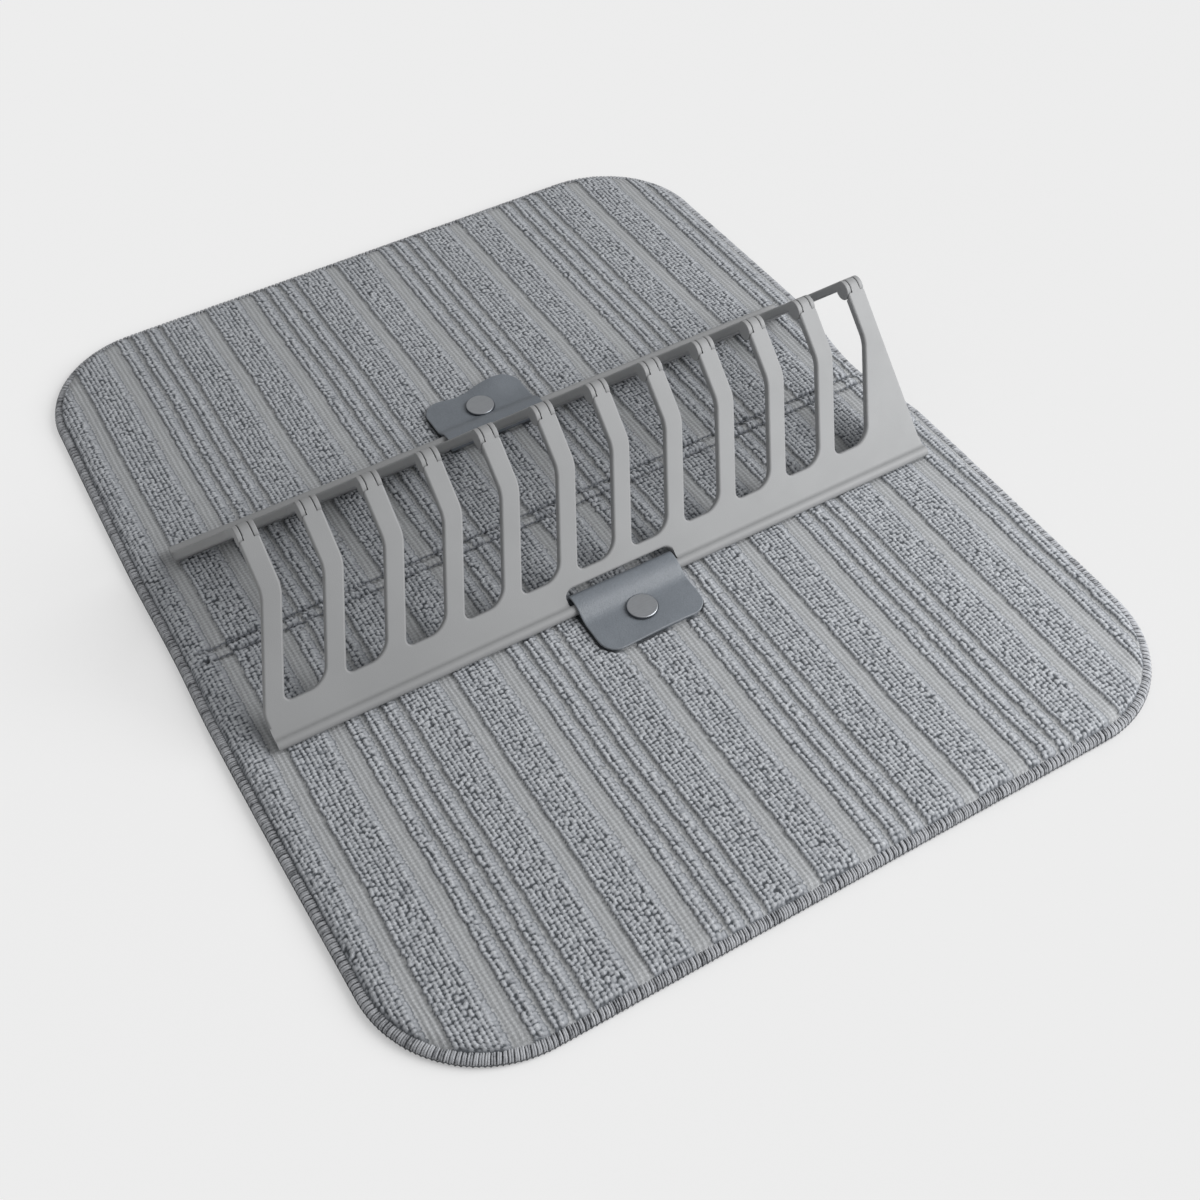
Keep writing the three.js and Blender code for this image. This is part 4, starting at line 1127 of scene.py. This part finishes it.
FINGER_MIDDLES = [RACK_HALF - FINGER_WIDTH / 2 - i * (FINGER_WIDTH + SLOT_WIDTH) for i in range(FINGERS)]


def comb_plate():
    corners = comb_corners()
    plate = trace(corners)
    round_corners(plate, corners)
    thicken(plate, -PLATE)
    plate.location.z = -BEAD_STANDOFF * MM
    finish_place(plate, "comb")
    soften(plate, EDGE_ROUND)
    return plate


# %% [markdown]
# The knuckles are discs round the hinge line. The rear panel's fingers end in two thin ears, and the front
# panel's in one tongue that clips between them, with a small pip on each side that turns in a hole in the
# ear. First the fingers are cut back round the hinge, so that the other panel's discs can turn there.
# Shapes that are united overlap by a hair, so that no two faces lie in one plane.

# %% Knuckles, bead and window bar


def disc(radius, start, end, v=AXIS_V, w=AXIS_W, rounding=0.0, sides=48):
    """A round bar along X from start to end, with rounded rims if it has a rounding."""
    bpy.ops.object.select_all(action="DESELECT")
    bpy.ops.mesh.primitive_cylinder_add(vertices=sides, radius=radius * MM, depth=(end - start) * MM,
                                        location=((start + end) / 2 * MM, v * MM, w * MM),
                                        rotation=(0, math.pi / 2, 0))
    bar = bpy.context.object
    finish_place(bar, "bar")
    if rounding:
        soften(bar, rounding)
    return bar


def rail(start, end):
    """The foot: a bead outside with a hollow fillet above it, and a low lip inside."""
    face = -BEAD_STANDOFF
    centre_w = face + BEAD_FILLET
    rise = math.sqrt((BEAD_RADIUS + BEAD_FILLET)**2 - centre_w**2)
    meeting = math.atan2(centre_w, rise)
    section = [(FILLET_TOP, face - OVERLAP)]
    for turn in np.linspace(-math.pi / 2, meeting - math.pi, 7):
        section.append((rise + BEAD_FILLET * math.cos(turn), centre_w + BEAD_FILLET * math.sin(turn)))
    for turn in np.linspace(meeting, math.pi * 1.25, 20)[1:]:
        section.append((BEAD_RADIUS * math.cos(turn), BEAD_RADIUS * math.sin(turn)))
    inner_face = face - PLATE + OVERLAP
    lip_face = inner_face - LIP_REACH
    section += [(PLATE_BOTTOM + OVERLAP, inner_face), (LIP_LOW, lip_face), (LIP_HIGH, lip_face),
                (LIP_HIGH + LIP_SLOPE, inner_face), (FILLET_TOP, inner_face)]
    bar = trace(section)
    thicken(bar, end - start)
    bar.matrix_world = Matrix(((0, 0, 1, start * MM), (1, 0, 0, 0), (0, 1, 0, 0), (0, 0, 0, 1)))
    finish_place(bar, "rail")
    face_out(bar)
    return bar


def comb_panel(name, is_rear):
    panel = comb_plate()
    if is_rear:
        panel.scale.x = -1
        finish_place(panel, "comb")
        face_out(panel)
    middles = [-m if is_rear else m for m in FINGER_MIDDLES]
    half_tongue, half_finger = TONGUE / 2, FINGER_WIDTH / 2
    inner = half_tongue + SIDE_GAP
    clear = KNUCKLE + KNUCKLE_GAP
    if is_rear:
        cuts = [(-inner, inner)]
        knuckles = [(-half_finger, -inner), (inner, half_finger)]
    else:
        cuts = [(-half_finger - CUT_OVERRUN, -half_tongue), (half_tongue, half_finger + CUT_OVERRUN)]
        knuckles = [(-half_tongue, half_tongue)]
    combine(panel, "DIFFERENCE", [disc(clear, m + a, m + b) for m in middles for a, b in cuts])
    combine(panel, "UNION", [disc(KNUCKLE, m + a, m + b, rounding=KNUCKLE_ROUND)
                             for m in middles for a, b in knuckles])
    pip = inner + PIP_REACH
    if is_rear:
        hole, hole_radius = pip + PIP_CLEARANCE, PIP_RADIUS + PIP_CLEARANCE
        combine(panel, "DIFFERENCE", [disc(hole_radius, m - hole, m + hole, sides=PIP_SIDES)
                                      for m in middles])
    else:
        combine(panel, "UNION", [disc(PIP_RADIUS, m - pip, m + pip, rounding=PIP_ROUND, sides=PIP_SIDES)
                                 for m in middles])
    combine(panel, "UNION", [rail(-RACK_HALF, -WINDOW_HALF), rail(WINDOW_HALF, RACK_HALF)])
    bar_half = WINDOW_HALF + BAR_OVERRUN
    combine(panel, "UNION", [disc(BEAD_RADIUS, -bar_half, bar_half, v=0, w=0)])
    turn = Matrix.Rotation(math.radians(PANEL_DEGREES), 4, "X")
    lean = Matrix.Translation((0, -PIVOT_Y * MM, PIVOT_Z * MM)) @ turn
    panel.matrix_world = (Matrix.Rotation(math.pi, 4, "Z") if is_rear else Matrix.Identity(4)) @ lean
    finish_place(panel, name)
    smooth(panel, 38, weight=80)
    return panel


front_comb = comb_panel("front_comb", False)
rear_comb = comb_panel("rear_comb", True)
print("comb faces:", len(front_comb.data.polygons), len(rear_comb.data.polygons))

# %% [markdown]
# ## Moulded plastic
# The combs are matt, neutral light grey plastic. Its skin is very finely spark-eroded, with a slight
# unevenness of tone, and the roughness varies a little where hands have polished it. From the left end to
# the right one the colour is also painted slightly lighter, as painted light from the lamp on the right.

# %% Plastic finish
plastic = Finish("moulded_plastic", Specular_IOR_Level=0.4)
plastic_tone = plastic.tones(plastic.noise(25, detail=4), [(0.3, (148, 149, 150)), (0.7, (154, 155, 156))])
whole_length = plastic.mapped(scale=(2.7, 1, 1))
along_rack = plastic.add("ShaderNodeSeparateXYZ", Vector=whole_length).outputs["X"]
# Painted light: the colour grows slightly lighter from the rack's left end to its right.
painted_light_drift = plastic.between(plastic.maths("ADD", along_rack, 0.5), 0.90, 1.06)
plastic.color(plastic.mix(1.0, plastic_tone, painted_light_drift, blend="MULTIPLY"))
plastic.set("Roughness", plastic.between(plastic.noise(90, detail=4), 0.46, 0.62))
plastic.set("Normal", plastic.bump(plastic.noise(2400, detail=3), 0.00006))
plastic.wear(front_comb, rear_comb)
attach(front_comb, "front_panel")
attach(rear_comb, "rear_panel")
for comb, node in ((front_comb, "front_rack_panel"), (rear_comb, "rear_rack_panel")):
    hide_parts(node)

# %% [markdown]
# ## The leather straps
# A strap is one strip of leather. It starts under the flap, runs in under the panel's bar, turns round it
# in half an oval and comes back over itself as the flap, which falls in a soft S and then lies level where
# the press stud holds it. The strip is drawn as its middle line seen from the side and extruded to its
# width in steps. The rows at both ends are drawn in to round their corners, and the flap's edge is pulled a
# little out of true by proportional moves, as worn leather is. Then the sheet gets its thickness and soft
# edges.

# %% Strap sizes, in millimetres
STRAP_HALF, STRAP_THICK, STRAP_END, STRAP_CORNER = 28.2, 1.3, 99.0, 9.0
PLY_Z, PLY_GAP, PLY_INSET = 7.7, 1.0, 1.4
FLAP_Z = PLY_Z + STRAP_THICK + PLY_GAP
LOOP_PLACE, LOOP_REACH, LOOP_TOP = 65.4, 4.0, 15.4
DIP_DEGREES, DIP_RADIUS = 41, 10.0
STRAP_COLUMNS, WIDENING_ROWS = 56, 6
EDGE_SOFTNESS = 0.42
CUT_EDGE_MARGIN, CUT_EDGE_FADE = 0.05, 0.35
SNAP_PLACE = 83.2


def end_rows(end, count=7):
    """Rows through a strap's round end: (distance, half width)."""
    return [(end - STRAP_CORNER * (1 - math.sin(turn)), STRAP_HALF - STRAP_CORNER * (1 - math.cos(turn)))
            for turn in np.linspace(0, math.pi / 2, count + 1)]


def strap_rows():
    """(distance from the fold, height, half width) along the strap, from the lower ply's end on."""
    rows = [(d, PLY_Z, half - PLY_INSET) for d, half in reversed(end_rows(STRAP_END - PLY_INSET))]
    rows += [(d, PLY_Z, STRAP_HALF - PLY_INSET) for d in np.linspace(rows[-1][0], LOOP_PLACE, 10)[1:-1]]
    tall = (LOOP_TOP - PLY_Z) / 2
    for k, turn in enumerate(np.linspace(-math.pi / 2, -1.5 * math.pi, 19)):
        half = STRAP_HALF - PLY_INSET * max(0, 1 - k / WIDENING_ROWS)
        rows.append((LOOP_PLACE + LOOP_REACH * math.cos(turn), PLY_Z + tall * (1 + math.sin(turn)), half))
    dip = math.radians(DIP_DEGREES)
    crest_radius = (LOOP_TOP - FLAP_Z) / (1 - math.cos(dip)) - DIP_RADIUS
    for turn in np.linspace(0, dip, 13)[1:]:
        drop = crest_radius * (1 - math.cos(turn))
        rows.append((LOOP_PLACE + crest_radius * math.sin(turn), LOOP_TOP - drop, STRAP_HALF))
    level_place = rows[-1][0] + DIP_RADIUS * math.sin(dip)
    for turn in np.linspace(dip, 0, 15)[1:]:
        rise = DIP_RADIUS * (1 - math.cos(turn))
        rows.append((level_place - DIP_RADIUS * math.sin(turn), FLAP_Z + rise, STRAP_HALF))
    flap_end = end_rows(STRAP_END)
    rows += [(d, FLAP_Z, STRAP_HALF) for d in np.linspace(rows[-1][0], flap_end[0][0], 9)[1:-1]]
    return rows + [(d, FLAP_Z, half) for d, half in flap_end]


def pull(strap, place, move, reach):
    """Moves the flap's edge near a place, and what is round it less and less."""
    spot = Vector(place) * MM
    nearest = min(strap.data.vertices, key=lambda v: (v.co - spot).length).index
    edit(strap, "VERT", lambda v: v.index == nearest)
    bpy.ops.transform.translate(value=Vector(move) * MM, use_proportional_edit=True,
                                use_proportional_connected=True, proportional_edit_falloff="SMOOTH",
                                proportional_size=reach * MM)
    bpy.ops.object.mode_set(mode="OBJECT")


def store_cut_edge(strap):
    """Notes how near each point is to the strap's cut edge, for the finish."""
    x, y, _ = np.array([v.co[:] for v in strap.data.vertices]).T / MM
    outside = past_round_corner(np.abs(x) - STRAP_HALF, -y - STRAP_END, STRAP_CORNER)
    store(strap, "cut_edge", np.clip(1 + (outside + CUT_EDGE_MARGIN) / CUT_EDGE_FADE, 0, 1))


def leather_strap(name, pulls, is_rear):
    rows = strap_rows()
    strap = draw([(-STRAP_HALF, -distance, height_z) for distance, height_z, _ in rows])
    for _ in range(STRAP_COLUMNS):
        step_x = 2 * STRAP_HALF / STRAP_COLUMNS * MM
        bpy.ops.mesh.extrude_region_move(TRANSFORM_OT_translate={"value": (step_x, 0, 0)})
    for distance, height_z, half in rows:
        if half < STRAP_HALF:
            here = Vector((-distance, height_z)) * MM
            edit(strap, "VERT", lambda v: (v.co.yz - here).length < 0.01 * MM)
            bpy.ops.transform.resize(value=(half / STRAP_HALF, 1, 1), center_override=(0, 0, 0))
    bpy.ops.object.mode_set(mode="OBJECT")
    for (x, distance), inward, lift, reach in pulls:
        pull(strap, (x, -distance, FLAP_Z), (0, inward, lift), reach)
    apply_modifier(strap, "SOLIDIFY", thickness=STRAP_THICK * MM, offset=0, use_even_offset=True)
    face_out(strap)
    soften(strap, EDGE_SOFTNESS, degrees=50)
    store_cut_edge(strap)
    strap.rotation_euler.z = math.pi if is_rear else 0
    finish_place(strap, name)
    smooth(strap, 50, weight=50)
    return strap


# %% Straps
FRONT_PULLS = [((-20, 99), 0, -0.5, 14), ((6, 99), 0, 0.45, 16), ((27, 97), 0, -0.35, 12)]
REAR_PULLS = [((-15, 99), 0, 2.8, 18), ((7, 99), 1.3, -0.6, 14), ((26, 93), 0, -0.4, 12)]
front_strap = leather_strap("front_leather_strap", FRONT_PULLS, False)
rear_strap = leather_strap("rear_leather_strap", REAR_PULLS, True)
for strap, side in ((front_strap, "front"), (rear_strap, "rear")):
    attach(strap, f"{side}_half")
    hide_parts(f"{side}_strap")
print("strap faces:", len(front_strap.data.polygons))

# %% [markdown]
# ## Leather finish
# The leather is a smooth blue-grey hide with a very fine, even grain. It has a dull sheen that shows as a
# broad pale band where the flap bends over the bar, so the roughness is middling and the grain only a small
# bump. Its cut edges are paler.

# %% Leather finish
leather = Finish("leather", Specular_IOR_Level=0.75)
hide = leather.noise(140, detail=4, roughness=0.6)
hide_tone = leather.tones(hide, [(0.3, (108, 114, 121)), (0.7, (114, 120, 127))])
speckle = leather.between(leather.noise(1100, detail=3, roughness=0.7), 0.80, 1.20)
hide_color = leather.mix(1.0, hide_tone, speckle, blend="MULTIPLY")
leather.color(leather.mix(leather.attribute("cut_edge"), hide_color, linear(128, 133, 139)))
leather.set("Roughness", leather.between(leather.noise(500, detail=3), 0.44, 0.54))
grain = leather.add("ShaderNodeTexVoronoi", Vector=leather.place, Scale=1400.0)
creases = leather.maths("SMOOTH_MIN", grain.outputs["Distance"], 0.5, 0.3)
fine_grain = leather.bump(creases, 0.00013)
leather.set("Normal", leather.bump(leather.noise(1300, detail=3), 0.00012, under=fine_grain))
leather.wear(front_strap, rear_strap)

# %% [markdown]
# ## The press studs
# A press stud's cap is a shallow metal button with a rolled rim, on a short shank that goes through the
# flap. It starts as a cylinder. Its rims are bevelled, its top is inset and pressed in a hair, and the
# shank is extruded from a second inset below. How near each point is to the rim is noted for the finish.
# The socket, the stud and its post are the CAD's own.

# %% Caps
CAP_RADIUS, CAP_BOTTOM, CAP_HEIGHT = 7.8, 10.9, 1.5
TOP_ROUND, BOTTOM_ROUND, SHADE_RIM_WIDTH, SHADE_RIM_FADE = 0.90, 0.55, 0.30, 0.1
TOP_INSET, STEP_WIDTH, STEP_DEPTH = 0.25, 0.35, 0.10
SHANK_RADIUS, SHANK_LENGTH = 1.2, 0.75


def snap_cap(name, is_rear):
    bpy.ops.object.select_all(action="DESELECT")
    bpy.ops.mesh.primitive_cylinder_add(vertices=72, radius=CAP_RADIUS * MM, depth=CAP_HEIGHT * MM,
                                        location=(0, -SNAP_PLACE * MM, (CAP_BOTTOM + CAP_HEIGHT / 2) * MM))
    cap = finish_place(bpy.context.object, name)
    low_z, high_z = CAP_BOTTOM * MM, (CAP_BOTTOM + CAP_HEIGHT) * MM
    for level_z, reach in ((high_z, TOP_ROUND), (low_z, BOTTOM_ROUND)):
        edit(cap, "EDGE", lambda e: all(abs(cap.data.vertices[i].co.z - level_z) < 1e-6 for i in e.vertices))
        bpy.ops.mesh.bevel(offset=reach * MM, segments=4, affect="EDGES")
    edit(cap, "FACE", lambda f: f.normal.z > 0.99 and abs(f.center.z - high_z) < 1e-6)
    bpy.ops.mesh.inset(thickness=TOP_INSET * MM)
    bpy.ops.mesh.inset(thickness=STEP_WIDTH * MM, depth=-STEP_DEPTH * MM)
    edit(cap, "FACE", lambda f: f.normal.z < -0.99 and abs(f.center.z - low_z) < 1e-6)
    bpy.ops.mesh.inset(thickness=(CAP_RADIUS - BOTTOM_ROUND - SHANK_RADIUS) * MM)
    bpy.ops.mesh.extrude_region_move(TRANSFORM_OT_translate={"value": (0, 0, -SHANK_LENGTH * MM)})
    bpy.ops.object.mode_set(mode="OBJECT")
    cap.rotation_euler.z = math.pi if is_rear else 0
    finish_place(cap, name)
    smooth(cap, 40, weight=60)
    # The outermost rim is noted for the finish, which paints it dark as painted shade.
    from_middle = [math.hypot(v.co.x, abs(v.co.y) - SNAP_PLACE * MM) / MM for v in cap.data.vertices]
    past_fade = np.array(from_middle) - CAP_RADIUS + SHADE_RIM_WIDTH + SHADE_RIM_FADE
    store(cap, "rim", np.clip(past_fade / SHADE_RIM_FADE, 0, 1))
    return cap


caps = [snap_cap("front_stud_cap", False), snap_cap("rear_stud_cap", True)]
for cap, side in zip(caps, ("front", "rear")):
    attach(cap, f"{side}_half")
    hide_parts(f"{side}_snap_cap")
print("cap faces:", len(caps[0].data.polygons))

# %% [markdown]
# ## Satin metal
# The caps are brushed to a dull grey. A metal shows what is round it, so its own colour is set so that the
# bright room comes out as the photograph's grey, and it is rough enough to blur the lamp. The outermost rim
# is painted dull and dark, as painted shade round the cap's edge.

# %% Metal finish
metal = Finish("satin_metal", Metallic=1.0)
brushing = metal.noise(300, detail=4, source=metal.mapped(scale=(1, 9, 1)))
polish = metal.tones(brushing, [(0.3, (180, 183, 187)), (0.7, (192, 195, 199))])
# Painted shade: the outermost rim is painted dark.
metal.color(metal.mix(metal.attribute("rim"), polish, linear(92, 96, 102)))
metal.set("Roughness", metal.between(brushing, 0.34, 0.46))
metal.set("Normal", metal.bump(metal.noise(3000, detail=2), 0.00001))
metal_nodes = [obj for node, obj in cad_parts.items() if not obj.hide_render]
metal.wear(*caps, *metal_nodes)
print("carried over from the CAD:", sorted(obj.name for obj in metal_nodes))

# %% [markdown]
# ## Size
# Both boxes, the CAD's and the visual model's, are printed. Cloth may stand a few millimetres proud of
# the CAD's box.

low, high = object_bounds()
for title, box in (("cad", (*cad_low, *cad_high)), ("visual", (*low, *high))):
    print(title, "box", [round(c, 4) for c in box])
